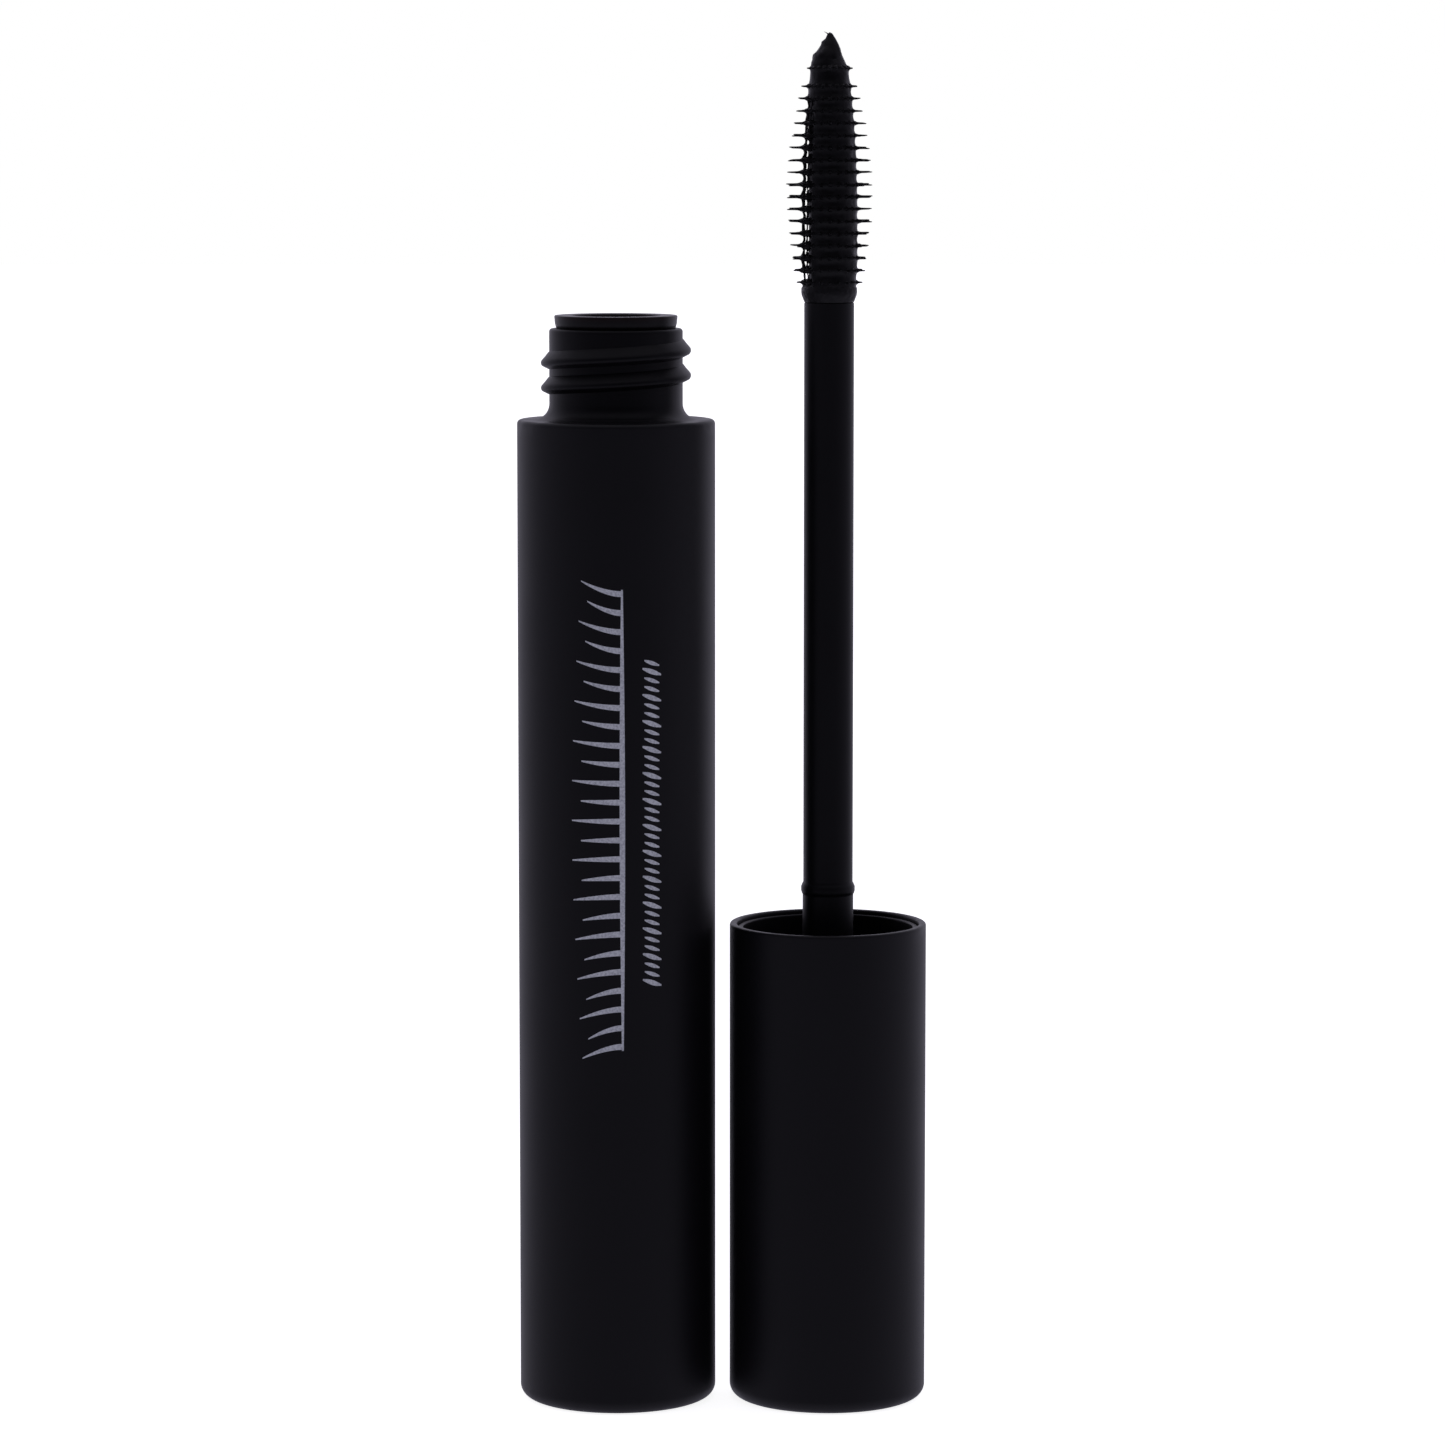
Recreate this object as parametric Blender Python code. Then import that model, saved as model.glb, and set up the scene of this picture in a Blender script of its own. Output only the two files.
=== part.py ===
"""A mascara, open: the bottle stands upright and its applicator stands beside it on the closed
end of its cap, brush upwards. Metres, +Z up, origin on the floor midway between the two axes.

The bottle holds a wiper in its neck and the paste. The applicator is an outer cap over a
threaded inner cap, a sealing washer, a rod plugged into the inner cap, and a moulded brush
plugged into the rod. Heights in the cap are measured from its closed end, which is its foot here.
"""

import math

import bmesh
import bpy
from mathutils import Vector

# Where the two halves stand, and the clearances between pieces.
SIDE_GAP = 0.0014          # between the bottle and the cap, side by side
FIT_GAP = 0.0002           # all round between a pushed-in piece and its bore
SEAT_GAP = 0.0003          # between two faces that rest on each other
PASSING_GAP = 0.0005       # round the brush in the paste
THREAD_GAP = 0.0002        # between the bottle's thread and the cap's
WIPER_GAP = 0.00015        # round the rod in the wiper's orifice

# Bottle.
BOTTLE_RADIUS = 0.0095
BOTTLE_HEIGHT = 0.0952     # base to shoulder
BOTTLE_WALL = 0.0015
BOTTLE_FLOOR = 0.0022
SHOULDER_WALL = 0.0018
SHOULDER_ROUND = 0.0004
BASE_ROUND = 0.0012
LABEL_RADIUS = 0.0062
LABEL_THICKNESS = 0.00015
LABEL_RECESS = 0.0007

# Neck and thread.
NECK_WALL = 0.0014
NECK_FILLET = 0.0015
NECK_CHAMFER = 0.0003
NECK_LAND = 0.00163        # plain band from the thread's upper end to the neck's top
THREAD_PITCH = 0.0024
THREAD_DEPTH = 0.0008
THREAD_TURNS = 1.85
THREAD_START = 11          # facets from +X, anticlockwise, where the thread's lower end is
THREAD_LOW = 0.00263       # shoulder to the lower end of the thread's crest
THREAD_LAND = 0.0001       # width of the crest
THREAD_NEAR_FLANK = 0.00055  # height of the flank that faces the shoulder
THREAD_FAR_FLANK = 0.00100   # height of the flank that faces the mouth
THREAD_FADE = 0.15         # turns over which each end of a thread runs out

# Wiper.
WIPER_SETBACK = 0.0005     # from the neck's outside to the flange's
WIPER_FLANGE_HEIGHT = 0.00095
WIPER_WALL = 0.0007
WIPER_TUBE = 0.0088        # straight tube below the flange
WIPER_FUNNEL = 0.0036      # height of the cone down to the orifice
WIPER_LIP = 0.0006         # height of the thin ring round the orifice

# Paste.
HEADSPACE = 0.0192         # from the paste's edge up to the wiper's lip
PASTE_MENISCUS = 0.0012
TIP_STANDOFF = 0.0096      # brush tip above the bottle's base when the mascara is closed
TIP_CLEARANCE = 0.0015     # paste's channel below the brush tip

# Caps.
CAP_HEIGHT = 0.0465
CAP_WALL = 0.0007
CAP_END_WALL = 0.0012
CAP_END_ROUND = 0.0012
CAP_RIM_ROUND = 0.00015
INNER_CAP_SETBACK = 0.0004  # inner cap's rim below the outer cap's
INNER_CAP_WALL = 0.0012    # behind the thread
MOUTH_WALL = 0.0004        # least wall of the plain entrance that clears the neck's fillet
MOUTH_DEPTH = 0.0020
MOUTH_TAPER = 0.0008
INNER_THREAD_TURNS = 1.5
INNER_THREAD_DEPTH = 0.0005
WEB_THICKNESS = 0.0014
SKIRT_WALL = 0.0010
BOSS_WALL = 0.0020
BOSS_LENGTH = 0.0120
RIB_COUNT = 4
RIB_WIDTH = 0.0010
RIB_SETBACK = 0.0020       # from the boss's end to the ribs'
WASHER_THICKNESS = 0.0010

# Rod.
ROD_RADIUS = 0.00239
ROD_FOOT_SWELL = 0.00006   # extra radius from the plug up to the bead
COLLAR_WIDTH = 0.00095     # how far the collar stands out of the rod's foot
COLLAR_HEIGHT = 0.0009
BEAD_SWELL = 0.00021       # extra radius of the bead
BEAD_HEIGHT = 0.0012
BEAD_PLACE = 0.0034        # cap's mouth to the bead's middle
ROD_BORE_WALL = 0.00089
ROD_BORE_DEPTH = 0.0090

# Brush.
BRUSH_COLLAR_SWELL = 0.00028  # beyond the rod's radius
BRUSH_COLLAR_HEIGHT = 0.0012
CORE_RADIUS = 0.0023
CORE_RADIUS_AT_TIP = 0.0020
CORE_DIP = 0.00015         # how far the core draws in between two rings
RING_COUNT = 18
RING_PITCH = 0.001163
RING_HEIGHT = 0.0004
LAST_RING_EXTRA = 0.00054  # the ring at the tip stands this much further off
WIDEST_RING = 7            # counted from the base
SPIKE_COLUMNS = 12
SPIKE_TIP = 0.25           # width of a spike's end as a share of its foot
RADIUS_AT_BASE = 0.0032
RADIUS_WIDEST = 0.00416
RADIUS_AT_TIP = 0.00225
TIP_LENGTH = 0.0035

# Facets round a turn. Nested pieces share them, so their gaps are even all round.
WIDE_FACETS = 32
BRUSH_FACETS = 2 * SPIKE_COLUMNS

# Radii that follow from the ones above, from the outside in: the cap lines up with the bottle,
# the inner cap fits the outer one, the neck fits the inner cap, and the wiper fits the neck.
AXIS_OFFSET = BOTTLE_RADIUS + SIDE_GAP / 2
CAP_RADIUS = BOTTLE_RADIUS
INNER_CAP_RADIUS = CAP_RADIUS - CAP_WALL - FIT_GAP
INNER_CAP_BORE = INNER_CAP_RADIUS - INNER_CAP_WALL
THREAD_RADIUS = INNER_CAP_BORE - THREAD_GAP
NECK_RADIUS = THREAD_RADIUS - THREAD_DEPTH
MOUTH_RADIUS = min(NECK_RADIUS + NECK_FILLET + SEAT_GAP, INNER_CAP_RADIUS - MOUTH_WALL)
NECK_BORE = NECK_RADIUS - NECK_WALL
WIPER_RADIUS = NECK_BORE - FIT_GAP
WIPER_FLANGE_RADIUS = NECK_RADIUS - WIPER_SETBACK
ROD_FOOT_RADIUS = ROD_RADIUS + ROD_FOOT_SWELL
COLLAR_RADIUS = ROD_FOOT_RADIUS + COLLAR_WIDTH
BEAD_RADIUS = ROD_RADIUS + BEAD_SWELL
ROD_BORE = ROD_RADIUS - ROD_BORE_WALL
BOSS_BORE = ROD_FOOT_RADIUS + FIT_GAP
BRUSH_COLLAR_RADIUS = ROD_RADIUS + BRUSH_COLLAR_SWELL

# Heights in the bottle.
NECK_TOP = BOTTLE_HEIGHT + THREAD_LOW + THREAD_TURNS * THREAD_PITCH + NECK_LAND
FLANGE_FOOT = NECK_TOP + SEAT_GAP
WIPER_TOP = FLANGE_FOOT + WIPER_FLANGE_HEIGHT
TUBE_FOOT = FLANGE_FOOT - WIPER_TUBE
FUNNEL_FOOT = TUBE_FOOT - WIPER_FUNNEL
LIP_FOOT = FUNNEL_FOOT - WIPER_LIP
PASTE_TOP = LIP_FOOT - HEADSPACE

# Heights in the applicator. Its rod is as long as the bottle needs.
WASHER_TOP = CAP_HEIGHT - (WIPER_TOP - BOTTLE_HEIGHT)
WASHER_FOOT = WASHER_TOP - WASHER_THICKNESS
WEB_TOP = WASHER_FOOT - SEAT_GAP
WEB_FOOT = WEB_TOP - WEB_THICKNESS
BOSS_FOOT = WEB_FOOT - BOSS_LENGTH
INNER_CAP_RIM = CAP_HEIGHT - INNER_CAP_SETBACK
INNER_CAP_FOOT = CAP_END_WALL + SEAT_GAP
RINGS_LENGTH = (RING_COUNT - 1) * RING_PITCH + LAST_RING_EXTRA
BRUSH_LENGTH = SEAT_GAP + BRUSH_COLLAR_HEIGHT + RING_HEIGHT + RINGS_LENGTH + TIP_LENGTH
BRUSH_TIP = CAP_HEIGHT + BOTTLE_HEIGHT - TIP_STANDOFF
ROD_FOOT = BOSS_FOOT + SEAT_GAP
ROD_TOP = BRUSH_TIP - BRUSH_LENGTH
BRUSH_COLLAR_FOOT = ROD_TOP + SEAT_GAP
BRUSH_COLLAR_TOP = BRUSH_COLLAR_FOOT + BRUSH_COLLAR_HEIGHT
FIRST_RING = BRUSH_COLLAR_TOP + RING_HEIGHT
LAST_RING = FIRST_RING + RINGS_LENGTH


def clear_scene():
    for thing in list(bpy.data.objects):
        bpy.data.objects.remove(thing, do_unlink=True)


def material(name, colour, roughness, metallic=0.0):
    made = bpy.data.materials.new(name)
    made.use_nodes = True
    shader = made.node_tree.nodes["Principled BSDF"]
    shader.inputs["Base Color"].default_value = (*colour, 1.0)
    shader.inputs["Roughness"].default_value = roughness
    shader.inputs["Metallic"].default_value = metallic
    return made


def axis_empty(name, across):
    """The upright axis of one half of the mascara, on the floor."""
    empty = bpy.data.objects.new(name, None)
    empty.location = (across, 0.0, 0.0)
    bpy.context.scene.collection.objects.link(empty)
    return empty


def round_corner(across, up, radius, start, steps=3):
    """Points of a quarter circle round (across, up), running anticlockwise from start degrees."""
    points = []
    for step in range(steps + 1):
        angle = math.radians(start + 90.0 * step / steps)
        points.append((across + radius * math.cos(angle), up + radius * math.sin(angle)))
    return points


def finish(name, bm, parent, finish_material):
    """Turns a bmesh into a named object on its axis, closed, smooth and with crisp edges."""
    bmesh.ops.remove_doubles(bm, verts=bm.verts, dist=1e-6)
    bmesh.ops.recalc_face_normals(bm, faces=bm.faces)
    mesh = bpy.data.meshes.new(name)
    bm.to_mesh(mesh)
    bm.free()
    mesh.materials.append(finish_material)
    mesh.shade_smooth()
    mesh.set_sharp_from_angle(angle=math.radians(35.0))
    made = bpy.data.objects.new(name, mesh)
    made.parent = parent
    bpy.context.scene.collection.objects.link(made)
    return made


def spun(outline, facets, looped):
    """A bmesh of an outline of (radius, height) points spun round the axis.
    A looped outline closes on itself; any other starts and ends on the axis."""
    bm = bmesh.new()
    verts = [bm.verts.new((radius, 0.0, height)) for radius, height in outline]
    ends = list(zip(verts, verts[1:]))
    if looped:
        ends.append((verts[-1], verts[0]))
    edges = [bm.edges.new(pair) for pair in ends]
    bmesh.ops.spin(
        bm,
        geom=verts + edges,
        cent=(0.0, 0.0, 0.0),
        axis=(0.0, 0.0, 1.0),
        angle=2.0 * math.pi,
        steps=facets,
        use_merge=True,
    )
    return bm


def thread_ridge(name, root, crest, low, start, turns, below, above, parent):
    """A right-handed ridge for a Boolean union. root and crest are radii, low is the height of
    the crest's lower end and start its facet, below and above are the flanks' heights.
    Its foot is sunk in the wall."""
    sink = math.copysign(0.0003, root - crest)
    steps = round(turns * WIDE_FACETS)
    bm = bmesh.new()
    sections = []
    for step in range(steps + 1):
        turned = step / WIDE_FACETS
        fade = min(1.0, turned / THREAD_FADE, (turns - turned) / THREAD_FADE)
        foot = root + sink
        top = foot - 0.2 * sink + max(fade, 0.0) * (crest - foot + 0.2 * sink)
        middle = low + THREAD_PITCH * turned
        angle = 2.0 * math.pi * (turned + start / WIDE_FACETS)
        section = []
        for radius, height in (
            (foot, middle - THREAD_LAND / 2 - below),
            (top, middle - THREAD_LAND / 2),
            (top, middle + THREAD_LAND / 2),
            (foot, middle + THREAD_LAND / 2 + above),
        ):
            place = (radius * math.cos(angle), radius * math.sin(angle), height)
            section.append(bm.verts.new(place))
        sections.append(section)
    for here, there in zip(sections, sections[1:]):
        for corner in range(4):
            beyond = (corner + 1) % 4
            bm.faces.new((here[corner], here[beyond], there[beyond], there[corner]))
    bm.faces.new(sections[0])
    bm.faces.new(list(reversed(sections[-1])))
    ridge = finish(name, bm, parent, MATERIALS["neck"])
    ridge.hide_render = True
    ridge.display_type = "WIRE"
    return ridge


def unite(target, helper):
    modifier = target.modifiers.new(helper.name, "BOOLEAN")
    modifier.operation = "UNION"
    modifier.solver = "EXACT"
    modifier.object = helper


def make_bottle(axis):
    """One moulding: body, flat shoulder and threaded neck, with a shallow recess in its base."""
    cavity = BOTTLE_RADIUS - BOTTLE_WALL
    recess = LABEL_RADIUS + SEAT_GAP
    ceiling = BOTTLE_HEIGHT - SHOULDER_WALL
    outline = [(0.0, LABEL_RECESS), (recess, LABEL_RECESS), (recess, 0.0)]
    outline += round_corner(BOTTLE_RADIUS - BASE_ROUND, BASE_ROUND, BASE_ROUND, -90.0)
    outline += round_corner(
        BOTTLE_RADIUS - SHOULDER_ROUND, BOTTLE_HEIGHT - SHOULDER_ROUND, SHOULDER_ROUND, 0.0, 2
    )
    fillet = MOUTH_RADIUS - SEAT_GAP - NECK_RADIUS
    outline += reversed(
        round_corner(NECK_RADIUS + fillet, BOTTLE_HEIGHT + fillet, fillet, 180.0)
    )
    outline += [
        (NECK_RADIUS, NECK_TOP - NECK_CHAMFER),
        (NECK_RADIUS - NECK_CHAMFER, NECK_TOP),
        (NECK_BORE, NECK_TOP),
        (NECK_BORE, ceiling),
        (cavity - BASE_ROUND, ceiling),
        (cavity, ceiling - BASE_ROUND),
        (cavity, BOTTLE_FLOOR + BASE_ROUND),
        (cavity - BASE_ROUND, BOTTLE_FLOOR),
        (0.0, BOTTLE_FLOOR),
    ]
    bottle = finish("bottle", spun(outline, WIDE_FACETS, False), axis, MATERIALS["bottle"])
    ridge = thread_ridge(
        "bottle_thread_helper",
        NECK_RADIUS,
        THREAD_RADIUS,
        BOTTLE_HEIGHT + THREAD_LOW,
        THREAD_START,
        THREAD_TURNS,
        THREAD_NEAR_FLANK,
        THREAD_FAR_FLANK,
        axis,
    )
    unite(bottle, ridge)


def make_base_label(axis):
    foot = LABEL_RECESS - SEAT_GAP - LABEL_THICKNESS
    outline = [
        (0.0, foot),
        (LABEL_RADIUS, foot),
        (LABEL_RADIUS, foot + LABEL_THICKNESS),
        (0.0, foot + LABEL_THICKNESS),
    ]
    finish("base_label", spun(outline, WIDE_FACETS, False), axis, MATERIALS["label"])


def make_wiper(axis):
    """A soft insert: flange on the neck's top, tube in the bore, funnel down to the orifice."""
    bore = WIPER_RADIUS - WIPER_WALL
    orifice = ROD_RADIUS + WIPER_GAP
    thin = 0.6 * WIPER_WALL
    edge = 0.3 * WIPER_WALL
    outline = [
        (bore, WIPER_TOP - edge),
        (bore, TUBE_FOOT),
        (orifice, FUNNEL_FOOT),
        (orifice, LIP_FOOT),
        (orifice + thin, LIP_FOOT),
        (orifice + thin, FUNNEL_FOOT),
        (WIPER_RADIUS, TUBE_FOOT),
        (WIPER_RADIUS, FLANGE_FOOT),
        (WIPER_FLANGE_RADIUS - edge, FLANGE_FOOT),
        (WIPER_FLANGE_RADIUS, WIPER_TOP - edge),
        (WIPER_FLANGE_RADIUS - edge, WIPER_TOP),
        (bore + edge, WIPER_TOP),
    ]
    finish("wiper", spun(outline, WIDE_FACETS, True), axis, MATERIALS["wiper"])


def make_paste(axis):
    """The filling, with the channel that the brush leaves in it."""
    radius = BOTTLE_RADIUS - BOTTLE_WALL - SEAT_GAP
    channel = RADIUS_WIDEST + PASSING_GAP
    foot = BOTTLE_FLOOR + SEAT_GAP
    channel_foot = TIP_STANDOFF - TIP_CLEARANCE
    outline = [
        (0.0, foot),
        (radius - BASE_ROUND, foot),
        (radius, foot + BASE_ROUND),
        (radius, PASTE_TOP),
        (0.5 * (radius + channel), PASTE_TOP - 0.7 * PASTE_MENISCUS),
        (channel, PASTE_TOP - PASTE_MENISCUS),
        (channel, channel_foot + channel),
        (0.6 * channel, channel_foot + 0.3 * channel),
        (0.0, channel_foot),
    ]
    finish("mascara_paste", spun(outline, WIDE_FACETS, False), axis, MATERIALS["paste"])


def make_outer_cap(axis):
    """A thin cup. It stands on its closed end, which is the top when it is on the bottle."""
    bore = CAP_RADIUS - CAP_WALL
    outline = [(0.0, 0.0)]
    outline += round_corner(CAP_RADIUS - CAP_END_ROUND, CAP_END_ROUND, CAP_END_ROUND, -90.0)
    outline += [
        (CAP_RADIUS, CAP_HEIGHT - CAP_RIM_ROUND),
        (CAP_RADIUS - CAP_RIM_ROUND, CAP_HEIGHT),
        (bore + CAP_RIM_ROUND, CAP_HEIGHT),
        (bore, CAP_HEIGHT - CAP_RIM_ROUND),
        (bore, CAP_END_WALL),
        (0.0, CAP_END_WALL),
    ]
    finish("outer_cap", spun(outline, WIDE_FACETS, False), axis, MATERIALS["cap"])


def make_inner_cap(axis):
    """A liner: threaded mouth, web that backs the washer, boss that grips the rod, and skirt."""
    taper_top = INNER_CAP_RIM - MOUTH_DEPTH
    skirt_bore = INNER_CAP_RADIUS - SKIRT_WALL
    boss = BOSS_BORE + BOSS_WALL
    outline = [
        (INNER_CAP_RADIUS, INNER_CAP_FOOT),
        (INNER_CAP_RADIUS, INNER_CAP_RIM),
        (MOUTH_RADIUS, INNER_CAP_RIM),
        (MOUTH_RADIUS, taper_top),
        (INNER_CAP_BORE, taper_top - MOUTH_TAPER),
        (INNER_CAP_BORE, WEB_TOP),
        (BOSS_BORE, WEB_TOP),
        (BOSS_BORE, BOSS_FOOT),
        (boss, BOSS_FOOT),
        (boss, WEB_FOOT),
        (skirt_bore, WEB_FOOT),
        (skirt_bore, INNER_CAP_FOOT),
    ]
    inner = finish("inner_cap", spun(outline, WIDE_FACETS, True), axis, MATERIALS["inner"])
    ridge = thread_ridge(
        "inner_cap_thread_helper",
        INNER_CAP_BORE,
        INNER_CAP_BORE - INNER_THREAD_DEPTH,
        WASHER_TOP + SEAT_GAP + THREAD_NEAR_FLANK + THREAD_PITCH / 2,
        0,
        INNER_THREAD_TURNS,
        THREAD_NEAR_FLANK,
        THREAD_FAR_FLANK,
        axis,
    )
    unite(inner, ridge)
    for index in range(RIB_COUNT):
        unite(inner, make_rib(index, boss, skirt_bore, axis))


def make_rib(index, boss, skirt_bore, axis):
    """One upright rib between the boss and the skirt, sunk a little into both and the web."""
    sunk = SEAT_GAP
    low = Vector((boss - sunk, -RIB_WIDTH / 2, BOSS_FOOT + RIB_SETBACK))
    high = Vector((skirt_bore + sunk, RIB_WIDTH / 2, WEB_FOOT + sunk))
    bm = bmesh.new()
    bmesh.ops.create_cube(bm, size=1.0)
    bmesh.ops.scale(bm, vec=high - low, verts=bm.verts)
    bmesh.ops.translate(bm, vec=(low + high) / 2, verts=bm.verts)
    rib = finish(f"rib_helper_{index}", bm, axis, MATERIALS["inner"])
    rib.rotation_euler.z = 2.0 * math.pi * index / RIB_COUNT
    rib.hide_render = True
    rib.display_type = "WIRE"
    return rib


def make_cap_seal(axis):
    """A loose washer on the web. The wiper's flange presses on it when the cap is screwed down."""
    bore = COLLAR_RADIUS + SEAT_GAP
    radius = INNER_CAP_BORE - SEAT_GAP
    outline = [
        (bore, WASHER_FOOT),
        (radius, WASHER_FOOT),
        (radius, WASHER_TOP),
        (bore, WASHER_TOP),
    ]
    finish("cap_seal", spun(outline, WIDE_FACETS, True), axis, MATERIALS["seal"])


def make_rod(axis):
    """A round stem. Its foot plugs into the boss, a collar stops it on the web, a bead shuts the
    wiper when the mascara is closed, and a bore in its end takes the brush's shank."""
    collar_foot = WEB_TOP + SEAT_GAP
    collar_top = collar_foot + COLLAR_HEIGHT
    bead = CAP_HEIGHT + BEAD_PLACE
    chamfer = FIT_GAP
    outline = [
        (0.0, ROD_FOOT),
        (ROD_FOOT_RADIUS - chamfer, ROD_FOOT),
        (ROD_FOOT_RADIUS, ROD_FOOT + chamfer),
        (ROD_FOOT_RADIUS, collar_foot),
        (COLLAR_RADIUS, collar_foot),
        (COLLAR_RADIUS, collar_top),
        (ROD_FOOT_RADIUS, collar_top),
        (ROD_FOOT_RADIUS, bead - BEAD_HEIGHT / 2),
        (BEAD_RADIUS, bead - BEAD_HEIGHT / 6),
        (BEAD_RADIUS, bead + BEAD_HEIGHT / 6),
        (ROD_RADIUS, bead + BEAD_HEIGHT / 2),
        (ROD_RADIUS, ROD_TOP),
        (ROD_BORE, ROD_TOP),
        (ROD_BORE, ROD_TOP - ROD_BORE_DEPTH),
        (0.0, ROD_TOP - ROD_BORE_DEPTH),
    ]
    finish("rod", spun(outline, WIDE_FACETS, False), axis, MATERIALS["rod"])


def ring_height(index):
    extra = LAST_RING_EXTRA if index == RING_COUNT - 1 else 0.0
    return FIRST_RING + index * RING_PITCH + extra


def envelope(height):
    """Radius that the spikes reach at a height: two parabolas that meet at the widest ring."""
    widest = ring_height(WIDEST_RING)
    if height < widest:
        away = (widest - height) / (widest - FIRST_RING)
        return RADIUS_WIDEST - (RADIUS_WIDEST - RADIUS_AT_BASE) * away ** 2
    away = (height - widest) / (LAST_RING - widest)
    return RADIUS_WIDEST - (RADIUS_WIDEST - RADIUS_AT_TIP) * away ** 2


def make_brush(axis):
    """One moulding: shank, collar, and a core whose rings of faces are drawn out into spikes."""
    shank = ROD_BORE - FIT_GAP
    outline = [
        (0.0, ROD_TOP - ROD_BORE_DEPTH + SEAT_GAP),
        (shank, ROD_TOP - ROD_BORE_DEPTH + SEAT_GAP),
        (shank, BRUSH_COLLAR_FOOT),
        (ROD_RADIUS, BRUSH_COLLAR_FOOT),
        (BRUSH_COLLAR_RADIUS, BRUSH_COLLAR_FOOT + 0.4 * BRUSH_COLLAR_HEIGHT),
        (BRUSH_COLLAR_RADIUS, BRUSH_COLLAR_TOP - 0.1 * BRUSH_COLLAR_HEIGHT),
        (CORE_RADIUS, BRUSH_COLLAR_TOP),
    ]
    for index in range(RING_COUNT):
        height = ring_height(index)
        last = index == RING_COUNT - 1
        core = CORE_RADIUS_AT_TIP if last else CORE_RADIUS
        outline.append((core, height - RING_HEIGHT / 2))
        outline.append((core, height + RING_HEIGHT / 2))
        if not last:
            outline.append((CORE_RADIUS - CORE_DIP, (height + ring_height(index + 1)) / 2))
    for share, up in ((0.70, 0.33), (0.40, 0.64), (0.15, 0.87)):
        outline.append((share * CORE_RADIUS_AT_TIP, LAST_RING + up * TIP_LENGTH))
    outline.append((0.0, BRUSH_TIP))

    bm = spun(outline, BRUSH_FACETS, False)
    bmesh.ops.remove_doubles(bm, verts=bm.verts, dist=1e-6)
    draw_out_spikes(bm)
    finish("brush", bm, axis, MATERIALS["brush"])


def draw_out_spikes(bm):
    """Extrudes every second face of each ring out to the envelope, and narrows its end."""
    facet = 2.0 * math.pi / BRUSH_FACETS
    rings = [ring_height(index) for index in range(RING_COUNT)]
    feet = []
    for face in bm.faces:
        middle = face.calc_center_median()
        on_ring = any(abs(middle.z - ring) < RING_HEIGHT / 8 for ring in rings)
        column = math.floor(math.atan2(middle.y, middle.x) / facet)
        if on_ring and column % 2 == 0 and abs(face.normal.z) < 0.5:
            feet.append(face)
    drawn = bmesh.ops.extrude_discrete_faces(bm, faces=feet)["faces"]
    for face in drawn:
        middle = face.calc_center_median()
        outward = Vector((middle.x, middle.y, 0.0)).normalized()
        end = outward * envelope(middle.z) + Vector((0.0, 0.0, middle.z))
        for vert in face.verts:
            vert.co = end + SPIKE_TIP * (vert.co - middle)


clear_scene()
MATERIALS = {
    "bottle": material("soft_touch_bottle", (0.012, 0.012, 0.014), 0.55),
    "neck": material("moulded_neck", (0.010, 0.010, 0.012), 0.30),
    "label": material("label_film", (0.030, 0.030, 0.033), 0.45),
    "wiper": material("soft_wiper", (0.020, 0.014, 0.015), 0.35),
    "paste": material("black_paste", (0.004, 0.004, 0.005), 0.20),
    "cap": material("soft_touch_cap", (0.012, 0.012, 0.014), 0.55),
    "inner": material("moulded_inner_cap", (0.012, 0.012, 0.013), 0.35),
    "seal": material("washer_foam", (0.090, 0.090, 0.095), 0.80),
    "rod": material("moulded_rod", (0.010, 0.010, 0.011), 0.28),
    "brush": material("pasted_brush", (0.008, 0.008, 0.009), 0.45),
}
bottle_axis = axis_empty("bottle_axis", -AXIS_OFFSET)
applicator_axis = axis_empty("applicator_axis", AXIS_OFFSET)
make_bottle(bottle_axis)
make_base_label(bottle_axis)
make_wiper(bottle_axis)
make_paste(bottle_axis)
make_outer_cap(applicator_axis)
make_inner_cap(applicator_axis)
make_cap_seal(applicator_axis)
make_rod(applicator_axis)
make_brush(applicator_axis)
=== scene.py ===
"""An open mascara: the bottle upright, and its applicator standing beside it on its cap."""

import math
import random

import bpy
from mathutils import Matrix, Vector, noise


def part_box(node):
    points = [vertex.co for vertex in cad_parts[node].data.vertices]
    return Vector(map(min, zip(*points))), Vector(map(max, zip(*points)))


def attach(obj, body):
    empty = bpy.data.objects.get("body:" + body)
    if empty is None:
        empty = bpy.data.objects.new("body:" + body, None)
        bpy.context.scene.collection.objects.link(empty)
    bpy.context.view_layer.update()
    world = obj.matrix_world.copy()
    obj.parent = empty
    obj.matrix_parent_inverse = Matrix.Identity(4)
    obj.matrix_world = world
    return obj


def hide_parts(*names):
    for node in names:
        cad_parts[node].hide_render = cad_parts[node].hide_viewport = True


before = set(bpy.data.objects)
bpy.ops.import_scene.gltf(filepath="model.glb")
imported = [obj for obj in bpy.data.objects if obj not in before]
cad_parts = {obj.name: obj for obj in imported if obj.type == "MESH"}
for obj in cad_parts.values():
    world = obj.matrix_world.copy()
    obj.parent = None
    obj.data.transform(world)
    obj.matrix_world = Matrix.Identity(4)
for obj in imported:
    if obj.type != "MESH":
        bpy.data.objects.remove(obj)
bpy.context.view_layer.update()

# ---------------------------------------------------------------------------------------------
# The studio: a camera a little below the brush's tip, a pale floor, and a tent of soft light,
# bright at the back and dark at the front, so that the black sides shine only along their edges.
# ---------------------------------------------------------------------------------------------

CAMERA_DISTANCE = 0.5286
CAMERA_HEIGHT = 0.1244
CAMERA_TILT = math.radians(6.31)
CAMERA_LENS = 137.4

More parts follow.
